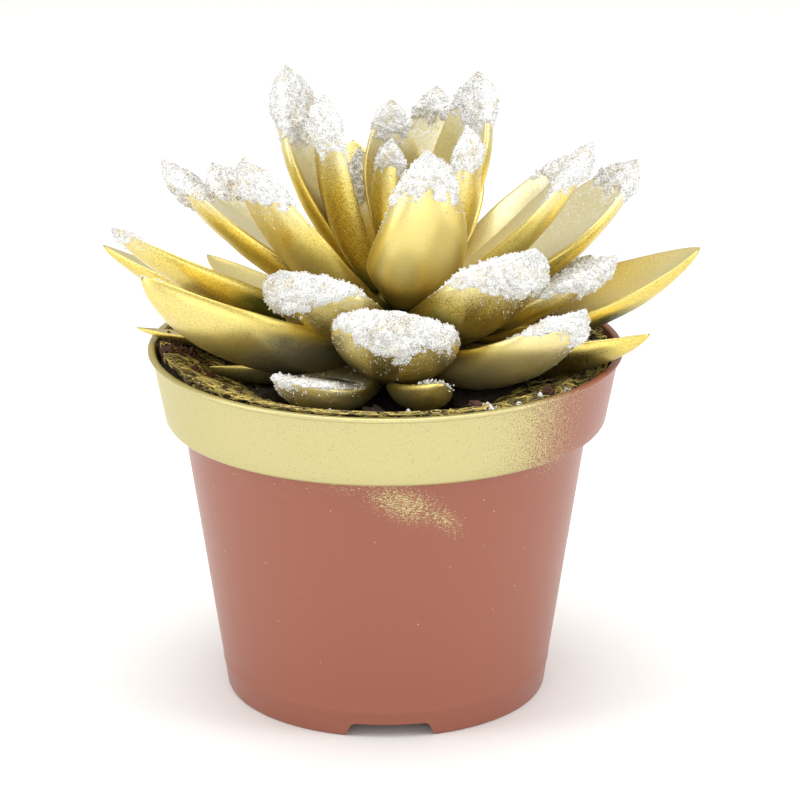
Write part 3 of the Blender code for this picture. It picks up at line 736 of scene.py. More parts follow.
def painted_pot_plastic(settings):
    """Injection-moulded polypropylene, terracotta-coloured, with a gold spray that covers
    the rim at the front and left and breaks into droplets where it thins out."""
    material, tree, shader = new_material("terracotta polypropylene with gold overspray")
    where = pot_coordinates(tree)
    split = add_node(tree, "ShaderNodeSeparateXYZ", {"Vector": where}).outputs
    forward = add_node(tree, "ShaderNodeMath", {0: split["Y"], 1: -1.0},
                       operation="MULTIPLY").outputs[0]
    azimuth = add_node(tree, "ShaderNodeMath", {0: split["X"], 1: forward},
                       operation="ARCTAN2").outputs[0]
    degrees = add_node(tree, "ShaderNodeMath", {0: azimuth, 1: 180.0 / math.pi},
                       operation="MULTIPLY").outputs[0]
    arc = add_node(tree, "ShaderNodeMath", {0: azimuth, 1: BODY_TOP_RADIUS},
                   operation="MULTIPLY").outputs[0]
    flat = add_node(tree, "ShaderNodeCombineXYZ", {"X": arc, "Y": split["Z"]}).outputs["Vector"]

    # The rim's paint fades out at the right and at the back
    right = add_node(tree, "ShaderNodeMapRange", {
        "Value": degrees, "From Min": 12.0, "From Max": 76.0,
        "To Min": 1.0, "To Max": 0.0}).outputs["Result"]
    left = add_node(tree, "ShaderNodeMapRange", {
        "Value": degrees, "From Min": -178.0, "From Max": -140.0}).outputs["Result"]
    on_rim = add_node(tree, "ShaderNodeMapRange", {
        "Value": split["Z"], "From Min": RIM_BOTTOM - 0.15,
        "From Max": RIM_BOTTOM + 0.05}).outputs["Result"]
    around = add_node(tree, "ShaderNodeMath", {0: right, 1: left},
                      operation="MINIMUM").outputs[0]
    coverage = add_node(tree, "ShaderNodeMath", {0: around, 1: on_rim},
                        operation="MULTIPLY").outputs[0]
    for centre_arc, centre_height, slant, reach, breadth, strength in BURSTS:
        oval = add_node(tree, "ShaderNodeMapping", {
            "Vector": flat, "Location": (centre_arc, centre_height, 0.0),
            "Rotation": (0.0, 0.0, math.radians(slant)), "Scale": (reach, breadth, 1.0)},
            vector_type="TEXTURE").outputs["Vector"]
        square = add_node(tree, "ShaderNodeVectorMath", {0: oval, 1: oval},
                          operation="DOT_PRODUCT").outputs["Value"]
        fall = add_node(tree, "ShaderNodeMath", {0: math.exp(-1.0), 1: square},
                        operation="POWER").outputs[0]
        burst = add_node(tree, "ShaderNodeMath", {0: fall, 1: strength},
                         operation="MULTIPLY").outputs[0]
        coverage = add_node(tree, "ShaderNodeMath", {0: coverage, 1: burst},
                            operation="MAXIMUM").outputs[0]

    # Where the coverage is thin, the paint breaks into droplets and slanting streaks
    droplets = add_node(tree, "ShaderNodeTexNoise", {
        "Vector": where, "Scale": 1.0 / 0.24, "Detail": 2.0, "Roughness": 0.75}).outputs["Fac"]
    slanted = add_node(tree, "ShaderNodeMapping", {
        "Vector": flat, "Rotation": (0.0, 0.0, math.radians(52.0)),
        "Scale": (0.7, 2.6, 1.0)}).outputs["Vector"]
    streaks = add_node(tree, "ShaderNodeTexNoise", {
        "Vector": slanted, "Scale": 1.6, "Detail": 2.0, "Roughness": 0.7}).outputs["Fac"]
    streaky = add_node(tree, "ShaderNodeMath", {0: on_rim, 1: -0.5, 2: 0.5},
                       operation="MULTIPLY_ADD").outputs[0]
    mixed = add_node(tree, "ShaderNodeMix", {
        "Factor": streaky, 2: droplets, 3: streaks}).outputs[0]
    covered = add_node(tree, "ShaderNodeMath", {0: coverage, 1: 0.62, 2: mixed},
                       operation="MULTIPLY_ADD").outputs[0]
    spread = add_node(tree, "ShaderNodeMapRange", {
        "Value": covered, "From Min": 0.80, "From Max": 0.86}).outputs["Result"]

    # Single specks lie on the body, fewer towards the foot
    cells = add_node(tree, "ShaderNodeTexVoronoi", {"Vector": where, "Scale": 1.0 / 2.0}).outputs
    round_spots = add_node(tree, "ShaderNodeMapRange", {
        "Value": cells["Distance"], "From Min": 0.085, "From Max": 0.055,
        "To Max": 0.85}).outputs["Result"]
    chance = add_node(tree, "ShaderNodeSeparateColor", {"Color": cells["Color"]}).outputs[0]
    rarity = add_node(tree, "ShaderNodeMapRange", {
        "Value": split["Z"], "From Min": 5.0, "From Max": 50.0,
        "To Min": 0.97, "To Max": 0.72}).outputs["Result"]
    lucky = add_node(tree, "ShaderNodeMath", {0: chance, 1: rarity},
                     operation="GREATER_THAN").outputs[0]
    specks = add_node(tree, "ShaderNodeMath", {0: round_spots, 1: lucky},
                      operation="MULTIPLY").outputs[0]
    paint = add_node(tree, "ShaderNodeMath", {0: spread, 1: specks},
                     operation="MAXIMUM").outputs[0]

    pits = add_node(tree, "ShaderNodeTexNoise", {
        "Vector": where, "Scale": 1.0 / 0.26, "Detail": 3.0, "Roughness": 0.7}).outputs["Fac"]
    pitted = add_node(tree, "ShaderNodeMapRange", {
        "Value": pits, "From Min": 0.41, "From Max": 0.30, "To Min": 0.0,
        "To Max": 0.8}).outputs["Result"]
    faded = add_node(tree, "ShaderNodeMix", {
        "Factor": pitted, 6: opaque(settings.paint), 7: opaque(linear("#7D6A34"))},
        data_type="RGBA").outputs[2]
    colour = add_node(tree, "ShaderNodeMix", {
        "Factor": paint, 6: opaque(settings.plastic), 7: faded},
        data_type="RGBA").outputs[2]
    metal = add_node(tree, "ShaderNodeMath", {0: paint, 1: 0.9},
                     operation="MULTIPLY").outputs[0]
    rough = add_node(tree, "ShaderNodeMapRange", {
        "Value": paint, "To Min": settings.gloss, "To Max": 0.46}).outputs["Result"]

    # The moulded skin is a little uneven, and the paint stands on it with its pits
    skin = add_node(tree, "ShaderNodeTexNoise", {
        "Vector": where, "Scale": 1.0 / 1.6, "Detail": 3.0}).outputs["Fac"]
    raised = add_node(tree, "ShaderNodeMath", {0: paint, 1: pitted},
                      operation="SUBTRACT").outputs[0]
    raised = add_node(tree, "ShaderNodeMath", {0: raised, 1: 0.5},
                      operation="MULTIPLY").outputs[0]
    height = add_node(tree, "ShaderNodeMath", {0: skin, 1: 0.25, 2: raised},
                      operation="MULTIPLY_ADD").outputs[0]
    bump = add_node(tree, "ShaderNodeBump", {
        "Height": height, "Strength": 0.7, "Distance": 0.05 * MM}).outputs["Normal"]
    set_inputs(tree, shader, {
        "Base Color": colour, "Metallic": metal, "Roughness": rough, "Normal": bump,
        "IOR": 1.5})
    return material


def damp_peat(settings):
    """Milled peat, damp. It gives a dark crumbly brown with paler dry flecks."""
    material, tree, shader = new_material("damp milled peat")
    where = add_node(tree, "ShaderNodeTexCoord").outputs["Object"]
    crumbs = add_node(tree, "ShaderNodeTexNoise", {
        "Vector": where, "Scale": 1.0 / (1.1 * MM), "Detail": 5.0,
        "Roughness": 0.7}).outputs["Fac"]
    ramp = add_node(tree, "ShaderNodeValToRGB", {"Fac": crumbs})
    dark, light = ramp.color_ramp.elements
    dark.position, dark.color = 0.40, opaque(settings.peat, 0.45)
    light.position, light.color = 0.66, opaque(settings.peat, 2.4)
    bump = add_node(tree, "ShaderNodeBump", {
        "Height": crumbs, "Strength": 1.0, "Distance": 0.6 * MM}).outputs["Normal"]
    set_inputs(tree, shader, {
        "Base Color": ramp.outputs["Color"], "Normal": bump, "Roughness": 0.9})
    return material


def coir(settings):
    """Coconut husk fibre, some of it caught by the gold spray. It gives thin wiry threads
    from dark brown to dull gold."""
    material, tree, shader = new_material("coir fibre with overspray")
    tone = add_node(tree, "ShaderNodeAttribute", attribute_name="tone").outputs["Fac"]
    colour = add_node(tree, "ShaderNodeMix", {
        "Factor": tone, 6: opaque(settings.dark_fibre), 7: opaque(settings.fibre)},
        data_type="RGBA").outputs[2]
    metal = add_node(tree, "ShaderNodeMapRange", {
        "Value": tone, "From Min": 0.45, "From Max": 1.0, "To Max": 0.55}).outputs["Result"]
    where = add_node(tree, "ShaderNodeTexCoord").outputs["Object"]
    knots = add_node(tree, "ShaderNodeTexNoise", {
        "Vector": where, "Scale": 1.0 / (0.4 * MM), "Detail": 2.0}).outputs["Fac"]
    bump = add_node(tree, "ShaderNodeBump", {
        "Height": knots, "Strength": 0.5, "Distance": 0.05 * MM}).outputs["Normal"]
    set_inputs(tree, shader, {
        "Base Color": colour, "Metallic": metal, "Normal": bump, "Roughness": 0.5})
    return material


def composted_bark():
    """Composted bark, reddish and dull, broken along its fibres."""
    material, tree, shader = new_material("composted bark")
    where = add_node(tree, "ShaderNodeTexCoord").outputs["Object"]
    streak = add_node(tree, "ShaderNodeTexNoise", {
        "Vector": where, "Scale": 1.0 / (0.9 * MM), "Detail": 4.0}).outputs["Fac"]
    colour = add_node(tree, "ShaderNodeMix", {
        "Factor": streak, 6: opaque(linear("#1A0B06")), 7: opaque(linear("#5C321C"))},
        data_type="RGBA").outputs[2]
    bump = add_node(tree, "ShaderNodeBump", {
        "Height": streak, "Strength": 1.0, "Distance": 0.4 * MM}).outputs["Normal"]
    set_inputs(tree, shader, {"Base Color": colour, "Normal": bump, "Roughness": 0.85})
    return material


def studio_floor(settings):
    """Matt white paper sweep."""
    material, tree, shader = new_material("paper sweep")
    where = add_node(tree, "ShaderNodeTexCoord").outputs["Object"]
    tooth = add_node(tree, "ShaderNodeTexNoise", {
        "Vector": where, "Scale": 1.0 / (2.0 * MM), "Detail": 2.0}).outputs["Fac"]
    bump = add_node(tree, "ShaderNodeBump", {
        "Height": tooth, "Strength": 0.1, "Distance": 0.02 * MM}).outputs["Normal"]
    set_inputs(tree, shader, {
        "Base Color": opaque(settings.floor), "Normal": bump, "Roughness": 0.8})
    return material


# Pot

def lip_profile():
    """The lip with its bead, from the inside over the top to under the bead."""
    top = POT_HEIGHT
    bead_bottom = top - BEAD_HEIGHT
    inside = inner_radius(top)
    return [
        (inside + 0.02, top - 0.45), (inside + 0.12, top - 0.15), (inside + 0.35, top),
        (LIP_RADIUS - 0.40, top), (LIP_RADIUS - 0.12, top - 0.10),
        (LIP_RADIUS, top - 0.30), (LIP_RADIUS - 0.02, top - 0.55),
        (LIP_RADIUS - 0.20, bead_bottom), (rim_radius(bead_bottom) + 0.03, bead_bottom - 0.05),
        (rim_radius(bead_bottom - 0.3), bead_bottom - 0.3),
    ]


def outside_profile():
    """The rim band, its lower edge, the tapered body and the foot ring."""
    line = MOULD_LINE_HEIGHT
    foot_inner = BASE_RADIUS - FOOT_WIDTH
    points = [(rim_radius(height), height) for height in (64.0, 60.0, 57.0)]
    points += [
        (rim_radius(RIM_BOTTOM + CORNER), RIM_BOTTOM + CORNER),
        (RIM_BOTTOM_RADIUS - 0.08, RIM_BOTTOM + 0.35),
        (RIM_BOTTOM_RADIUS - 0.30, RIM_BOTTOM + 0.08),
        (RIM_BOTTOM_RADIUS - CORNER, RIM_BOTTOM),
        (body_radius(RIM_BOTTOM) + 0.45, RIM_BOTTOM),
        (body_radius(RIM_BOTTOM) + 0.12, RIM_BOTTOM - 0.15),
        (body_radius(RIM_BOTTOM - CORNER), RIM_BOTTOM - CORNER),
    ]
    points += [(body_radius(height), height) for height in (48.0, 40.0, 32.0, 24.0, 16.0, 9.0)]
    points += [
        (body_radius(line + 0.30), line + 0.30),
        (body_radius(line + 0.12) + MOULD_LINE_REACH, line + 0.12),
        (body_radius(line - 0.12) + MOULD_LINE_REACH, line - 0.12),
        (body_radius(line - 0.30), line - 0.30),
        (body_radius(CORNER), CORNER), (body_radius(0.0) - 0.12, 0.15),
        (BASE_RADIUS - 0.35, 0.0), (foot_inner, 0.0),
        (foot_inner - FOOT_DRAFT, FLOOR_RISE), (AXIS_HOLE, FLOOR_RISE),
    ]
    return points


def make_notch(index):
    """A block with a narrower rounded top, across the foot ring."""
    deselect()
    flare = (NOTCH_BOTTOM_WIDTH - NOTCH_TOP_WIDTH) / NOTCH_HEIGHT
    bpy.ops.mesh.primitive_cube_add(size=MM, location=(0.0, 0.0, 0.0))
    block = bpy.context.active_object
    block.name = f"notch_{index + 1}"
    for vert in block.data.vertices:
        top = vert.co.z > 0
        vert.co.x *= NOTCH_TOP_WIDTH if top else NOTCH_BOTTOM_WIDTH + flare * NOTCH_BELOW
        vert.co.y = vert.co.y * NOTCH_REACH - BASE_RADIUS * MM
        vert.co.z = (NOTCH_HEIGHT if top else -NOTCH_BELOW) * MM
    bpy.ops.object.mode_set(mode="EDIT")
    shape = bmesh.from_edit_mesh(block.data)
    for edge in shape.edges:
        a, b = (vert.co for vert in edge.verts)
        edge.select_set(min(a.z, b.z) > 0 and abs(a.x - b.x) < 0.1 * MM)
    bmesh.update_edit_mesh(block.data)
    bpy.ops.mesh.bevel(offset=NOTCH_ROUND * MM, segments=5, profile=0.5)
    bpy.ops.object.mode_set(mode="OBJECT")
    block.rotation_euler.z = math.radians(NOTCH_TURN + 360.0 * index / NOTCH_COUNT)
    block.location = AXIS
    return block


class ECHEVERIA_OT_pot(bpy.types.Operator):
    """Turn the thin plastic pot, and cut its foot notches and drain holes"""
    bl_idname = "echeveria.pot"
    bl_label = "Pot"

    def execute(self, context):
        floor_top = FLOOR_RISE + WALL
        shoulder = RIM_BOTTOM + WALL
        inside = [
            (AXIS_HOLE, floor_top), (inner_radius(floor_top) - CORNER, floor_top),
            (inner_radius(floor_top + CORNER), floor_top + CORNER),
            (inner_radius(shoulder - CORNER), shoulder - CORNER),
            (inner_radius(shoulder - CORNER) + CORNER, shoulder),
            (inner_radius(shoulder + CORNER) - CORNER, shoulder),
            (inner_radius(shoulder + CORNER), shoulder + CORNER),
            (inner_radius(61.0), 61.0), (inner_radius(65.0), 65.0),
        ]
        pot = turned("pot", inside + lip_profile() + outside_profile(), POT_SIDES)
        for index in range(NOTCH_COUNT):
            cut_away(pot, make_notch(index))
        for index in range(DRAIN_COUNT):
            turn = math.tau * index / DRAIN_COUNT
            spot = Vector((math.cos(turn), math.sin(turn), 0.0)) * DRAIN_RING_RADIUS * MM
            deselect()
            bpy.ops.mesh.primitive_cylinder_add(
                vertices=32, radius=DRAIN_RADIUS * MM, depth=DRAIN_DEPTH * MM,
                location=AXIS + spot + Vector((0.0, 0.0, FLOOR_RISE * MM)))
            cut_away(pot, bpy.context.active_object)
        shade(pot, 50.0)
        dress(pot, "nursery_pot", painted_pot_plastic(context.scene.echeveria_pot),
              "terracotta_plastic", "pot")
        return {"FINISHED"}


# Leaves

# Leaves whose belly carries painted shade far along their length, and up to what share of it
SHADOWED = {"middle_1": 0.85, "middle_2": 0.72, "middle_3": 0.70, "outer_3": 0.95,
            "outer_4": 1.05, "outer_17": 0.78, "outer_14": 0.74, "outer_13": 0.60}
# How strongly a leaf's upper face is paled, as snow dust and painted highlight, where it isn't
# the common one
UPPER_DUST_AND_HIGHLIGHT = {"middle_5": 0.44, "middle_6": 0.42, "middle_4": 0.35, "middle_10": 0.38,
         "middle_9": 0.4, "crown_4": 0.5, "crown_3": 0.2, "crown_7": 0.3, "outer_3": 0.22,
         "outer_13": 0.3, "outer_14": 0.25}
# How strong the dark grain of the paint is, where it isn't the common one
GRAIN = {"crown_1": 0.18, "crown_6": 1.0, "crown_2": 0.9, "middle_2": 0.95,
         "middle_11": 0.6, "middle_12": 0.8, "middle_1": 0.7, "outer_2": 0.3,
         "outer_18": 0.3, "outer_17": 0.5}
# How pale the belly is painted on leaves whose belly faces the front, a painted highlight
BELLY_HIGHLIGHT = {"outer_2": 0.26, "outer_18": 0.24, "crown_1": 0.10, "outer_1": 0.12,
               "outer_17": 0.10, "outer_16": 0.12, "middle_5": 0.08}


def missed_paint_and_shade(leaf, t, around, point):
    """How far the spray failed to reach a point between the leaves, and how darkly a belly low
    under the crown is painted in shade.
    """
    away = math.hypot(point.x - STEM_X, point.y)
    by_stem = smooth((MISSED_RADIUS - away) / MISSED_RADIUS_FADE)
    by_root = smooth((MISSED_ROOT - t) / MISSED_AND_SHADED_FADE)
    low = smooth((SHADE_LEVEL - point.z) / SHADE_LEVEL_FADE)
    on_belly = smooth((SHADOWED.get(leaf.name, SHADED_BELLY) - t) / MISSED_AND_SHADED_FADE)
    # Painted shade on the bellies that sit low under the crown, beneath the leaves above
    below = smooth(-2.2 * math.sin(around)) * low * on_belly
    return MISSED_AND_SHADED_MOST * max(by_root * by_stem, below)


def dust_and_highlight_at(leaf, t, around):
    """How thickly fine snow dust lies on the leaf's skin, and how strongly painted highlight
    pales its upper face and belly.
    """
    upper = smooth(2.0 * math.sin(around)) * smooth(t / 0.4)
    belly = smooth(-2.0 * math.sin(around)) * smooth((t - 0.15) / 0.25)
    bloom = max(UPPER_DUST_AND_HIGHLIGHT.get(leaf.name, COMMON_DUST_AND_HIGHLIGHT) * upper,
                BELLY_HIGHLIGHT.get(leaf.name, 0.0) * belly)
    if not leaf.crust:
        return bloom
    past = (snow_start(leaf, around, snow_seed(leaf)) - t) * leaf.length
    facing = 0.6 + 0.4 * math.sin(around)
    return max(bloom, DUST_BY_CRUST * facing * smooth(1.0 - past / DUST_REACH))


def make_leaf(leaf):
    """One leaf from a sphere whose poles become its root and its tip."""
    deselect()
    bpy.ops.mesh.primitive_uv_sphere_add(segments=LEAF_SIDES, ring_count=LEAF_RINGS,
                                         radius=1.0, location=(0.0, 0.0, 0.0))
    obj = bpy.context.active_object
    seed = Vector((LEAVES.index(leaf) * 5.1, 0.0, 0.0))
    bare, dust_and_highlight, grainy, skins = [], [], [], []
    for vert in obj.data.vertices:
        share, around = place_on_leaf(vert)
        t = 0.5 * share + 0.25 * (1.0 - math.cos(math.pi * share))
        point = leaf_point(leaf, t, around, 1.0)
        wave = noise.noise(point / DIMPLE_SIZE + seed)
        skins.append((leaf_skin(leaf, t, around)[1], wave))
        # The bare share holds leaf that the spray missed together with painted shade on low
        # bellies
        bare.append(missed_paint_and_shade(leaf, t, around, point))
        dust_and_highlight.append(dust_and_highlight_at(leaf, t, around))
        drift = GRAIN_DRIFT * noise.noise(point / GRAIN_DRIFT_SIZE + seed)
        grainy.append(GRAIN.get(leaf.name, COMMON_GRAIN) * (1.0 + drift))
        vert.co = point
    for vert, (out, wave) in zip(obj.data.vertices, skins):
        vert.co += out * DIMPLE * wave
        vert.co = AXIS + vert.co * MM
    for name, values in (("bare", bare), ("dust_and_highlight", dust_and_highlight), ("grainy", grainy)):
        store(obj, name, values)
    return obj


class ECHEVERIA_OT_rosette(bpy.types.Operator):
    """Grow every leaf from the stem and join them into the one plant"""
    bl_idname = "echeveria.rosette"
    bl_label = "Rosette"

    def execute(self, context):
        deselect()
        bpy.ops.mesh.primitive_cylinder_add(
            vertices=24, radius=STEM_RADIUS * MM, depth=(STEM_TOP - STEM_FOOT) * MM,
            location=AXIS + Vector((STEM_X, 0.0, 0.5 * (STEM_FOOT + STEM_TOP))) * MM)
        stem = bpy.context.active_object
        settle(stem)
        # The stem takes the bare colours: unpainted, and darkened as painted shade under the
        # crown
        for name, value in (("bare", 0.7), ("dust_and_highlight", 0.0), ("grainy", 0.5)):
            store(stem, name, [value] * len(stem.data.vertices))
        rosette = join([make_leaf(leaf) for leaf in LEAVES] + [stem])
        shade(rosette)
        dress(rosette, "gilded_rosette", gold_leaf_paint(context.scene.echeveria_leaf),
              "gold_sprayed_leaf", "rosette")
        return {"FINISHED"}


# Snow

def snow_seed(leaf):
    return Vector((LEAVES.index(leaf) * 7.3, 1.7, 0.0))


def snow_start(leaf, around, seed):
    """Share of the length where the crust starts, on each side of the leaf."""
    facing_up = 0.5 + 0.5 * math.sin(around)
    covered = leaf.under + (leaf.top - leaf.under) * smooth(facing_up)
    spot = Vector((math.cos(around), math.sin(around), 0.0)) * SNOW_EDGE_WAVES
    return 1.0 - covered + SNOW_EDGE_WANDER * noise.noise(spot + seed)


# Crusts that are drawn back to patches, and by how many millimetres
SNOW_DRAWN_BACK = {"outer_18": 5.0}


def snow_depth(leaf, t, around, point, seed):
    """Height of the crust's surface over the leaf, which is sunk past its ragged edge."""
    start = snow_start(leaf, around, seed)
    inside = (t - start) * leaf.length
    ragged = (SNOW_RAGGED * noise.noise(point / SNOW_RAGGED_SIZE + seed)
              + SNOW_RAGGED_FINE * noise.noise(point / SNOW_RAGGED_FINE_SIZE - seed))
    drawn_back = SNOW_DRAWN_BACK.get(leaf.name, 0.0)
    present = smooth((inside + ragged + 0.1 - drawn_back) / SNOW_EDGE_RISE)
    share = max(0.0, (t - start) / (1.0 - start))
    lump = 0.5 + 0.4 * noise.noise(point / SNOW_LUMP + seed)
    tip = SNOW_TIP_THIN + (1.0 - SNOW_TIP_THIN) * smooth((1.0 - share) / SNOW_TIP_REACH)
    edge = SNOW_EDGE_THIN + (1.0 - SNOW_EDGE_THIN) * smooth(share / SNOW_EDGE_REACH)
    flank = SNOW_MARGIN_THIN + (1.0 - SNOW_MARGIN_THIN) * abs(math.sin(around))
    shape = tip * edge * flank
    full = SNOW_FILL * leaf.crust * shape * (SNOW_THINNEST + (1.4 - SNOW_THINNEST) * lump)
    clump = 0.45 - noise.voronoi(point / SNOW_CLUMP_SIZE + seed)[0][0]
    crumb = 0.5 - noise.voronoi(point / SNOW_CRUMB_SIZE)[0][0]
    pore = smooth((noise.noise(point / SNOW_PORE_SIZE + seed * 2.0) - 0.15) / 0.25)
    relief = SNOW_CLUMP * clump + SNOW_CRUMB * crumb - SNOW_PORE * pore
    depth = SNOW_BASE + full + (0.4 + 0.6 * shape) * relief
    return -SNOW_SUNK + present * (SNOW_SUNK + depth)


def make_crust(leaf):
    """The crust as a mitten over the leaf's tip, from a sphere."""
    seed = snow_seed(leaf)
    sides = max(40, round(2.3 * leaf.breadth / SNOW_FACE))
    rows = max(30, round(leaf.top * leaf.length / (0.8 * SNOW_FACE)))
    deselect()
    bpy.ops.mesh.primitive_uv_sphere_add(segments=sides, ring_count=rows, radius=1.0,
                                         location=(0.0, 0.0, 0.0))
    obj = bpy.context.active_object
    plug = 2.0 / rows
    spill = SNOW_SPILL / leaf.length
    core = leaf_point(leaf, 1.0 - 0.5 * leaf.under, 0.5 * math.pi)
    for vert in obj.data.vertices:
        share, around = place_on_leaf(vert)
        start = snow_start(leaf, around, seed) - spill
        reach = max(0.0, (share - plug) / (1.0 - plug))
        t = start + (1.0 - start) * reach ** 0.9
        point, out = leaf_skin(leaf, t, around)
        if t > 0.985:
            point = leaf_point(leaf, t, around)
        place = point + out * snow_depth(leaf, t, around, point, seed)
        if share < plug:
            place = core.lerp(point - out * SNOW_SUNK, share / plug)
        vert.co = AXIS + place * MM
    return obj


# A grain is an eight-faced crystal, whose corners lie on its three axes
GRAIN_CORNERS = tuple(Vector(corner) for corner in (
    (1, 0, 0), (0, 1, 0), (-1, 0, 0), (0, -1, 0), (0, 0, 1), (0, 0, -1)))
GRAIN_FACES = tuple((a, (a + 1) % 4, 4) for a in range(4)) + tuple(
    ((a + 1) % 4, a, 5) for a in range(4))


def grain(rng, centre, out, radius):
    """Corners of one grain, longest roughly along the way out."""
    lean = Vector((rng.gauss(0, 1), rng.gauss(0, 1), rng.gauss(0, 1)))
    axis = (out + 0.5 * lean).normalized()
    turn = axis.to_track_quat("Z", "Y") @ Matrix.Rotation(
        rng.uniform(0.0, math.tau), 3, "Z").to_quaternion()
    size = Vector((rng.uniform(0.6, 1.1), rng.uniform(0.6, 1.1), rng.uniform(0.9, 2.0))) * radius
    return [centre + turn @ (corner * size) for corner in GRAIN_CORNERS]


def grains_object(name, grains):
    """One mesh of many grains, from the corners of each."""
    corners = [AXIS + corner * MM for one in grains for corner in one]
    faces = [tuple(corner + 6 * index for corner in face)
             for index in range(len(grains)) for face in GRAIN_FACES]
    mesh = bpy.data.meshes.new(name)
    mesh.from_pydata(corners, [], faces)
    obj = bpy.data.objects.new(name, mesh)
    bpy.context.scene.collection.objects.link(obj)
    return obj


def grains_on(leaf, settings, rng):
    """Loose grains on the crust, and spilt past its edge on to the leaf."""
    seed = snow_seed(leaf)
    grains = []
    area = 2.0 * leaf.breadth * 0.5 * (leaf.top + leaf.under) * leaf.length
    size = settings.grain / MM
    for _ in range(int(area * settings.density)):
        around = rng.uniform(0.0, math.tau)
        start = snow_start(leaf, around, seed)
        t = start + (1.0 - start) * rng.random() ** 0.8
        spilt = rng.random() < SNOW_SPILT_SHARE
        if spilt:
            t = start - rng.expovariate(1.0) * SNOW_SPILT_REACH / leaf.length
        point, out = leaf_skin(leaf, t, around)
        depth = snow_depth(leaf, t, around, point, seed)
        if depth < 0.0 and not spilt and rng.random() < 0.7:
            continue
        radius = size * rng.uniform(0.4, 1.2) * (0.6 if spilt else 1.0)
        stand = 0.0 if spilt else 0.5 * radius
        grains.append(grain(rng, point + out * (max(0.0, depth) + stand), out, radius))
    return grains_object(f"grains_{leaf.name}", grains)


class ECHEVERIA_OT_snow(bpy.types.Operator):
    """Crust each snowed leaf's tip with crumbly artificial snow"""
    bl_idname = "echeveria.snow"
    bl_label = "Snow crusts"

    def execute(self, context):
        settings = context.scene.echeveria_snow
        material = snow_grains(settings)
        rng = random.Random(11)
        for leaf in LEAVES:
            if not leaf.crust:
                continue
            crust = join([make_crust(leaf), grains_on(leaf, settings, rng)])
            shade(crust)
            dress(crust, f"snow_crust_{leaf.name}", material, "artificial_snow",
                  f"snow_{leaf.name}")
        return {"FINISHED"}


# Grains that fell in small heaps on the soil, each with its place and its reach, and on
# leaves, each with its share of the length and its reach. A heap's grains are counted
# for a reach of 1 mm, and single grains for each leaf that stands clear of the soil.
SOIL_HEAPS = ((16.5, -37.0, 1.1), (18.3, -35.8, 0.9), (19.2, -37.6, 0.6), (11.5, -36.0, 0.6),
              (9.5, -37.8, 0.7), (4.0, -38.5, 0.5), (2.0, -37.0, 0.4), (33.0, -26.0, 0.5),
              (28.0, -30.5, 0.5), (38.0, -14.0, 0.5), (24.0, -34.0, 0.3), (-10.0, -38.0, 0.4))
LEAF_HEAPS = (("outer_17", 0.95, 1.3), ("outer_1", 0.92, 1.7), ("outer_17", 0.99, 0.8))
SOIL_HEAP_GRAINS = 260
LEAF_HEAP_GRAINS = 330
SINGLE_GRAINS = 60


class ECHEVERIA_OT_spilt_snow(bpy.types.Operator):
    """Scatter fallen grains over the leaves and the soil"""
    bl_idname = "echeveria.spilt_snow"
    bl_label = "Spilt snow"

    def execute(self, context):
        settings = context.scene.echeveria_snow
        rng = random.Random(23)
        size = settings.grain / MM
        grains = []
        for leaf in LEAVES:
            if leaf.rise < LOW_RISE:
                continue
            for _ in range(SINGLE_GRAINS):
                around = rng.gauss(0.5 * math.pi, 0.8)
                t = rng.uniform(0.25, 0.97)
                point, out = leaf_skin(leaf, t, around)
                grains.append(grain(rng, point, out, size * rng.uniform(0.25, 0.8)))
        shapes = {leaf.name: leaf for leaf in LEAVES}
        for name, share, reach in LEAF_HEAPS:
            leaf = shapes[name]
            for _ in range(int(LEAF_HEAP_GRAINS * reach)):
                t = share - abs(rng.gauss(0.0, reach)) / leaf.length
                around = rng.gauss(0.5 * math.pi, 0.5)
                point, out = leaf_skin(leaf, t, around)
                away = (share - t) * leaf.length / reach
                lift = rng.random() * max(0.0, 1.2 - away) * 0.7 * reach
                grains.append(grain(rng, point + out * lift, out, size * rng.uniform(0.6, 1.3)))
        for x, y, reach in SOIL_HEAPS:
            for _ in range(int(SOIL_HEAP_GRAINS * reach)):
                px, py = rng.gauss(x, 0.5 * reach), rng.gauss(y, 0.5 * reach)
                away = math.hypot(px - x, py - y) / reach
                lift = rng.random() * max(0.0, 1.0 - away) * reach
                spot = Vector((px, py, soil_height(px, py) + 0.5 + lift))
                grains.append(grain(rng, spot, Vector((0, 0, 1)), size * rng.uniform(0.7, 1.5)))
        obj = grains_object("spilt_snow", grains)
        shade(obj)
        dress(obj, "spilt_snow", bpy.data.materials["artificial snow flake"],
              "artificial_snow")
        return {"FINISHED"}


# Soil

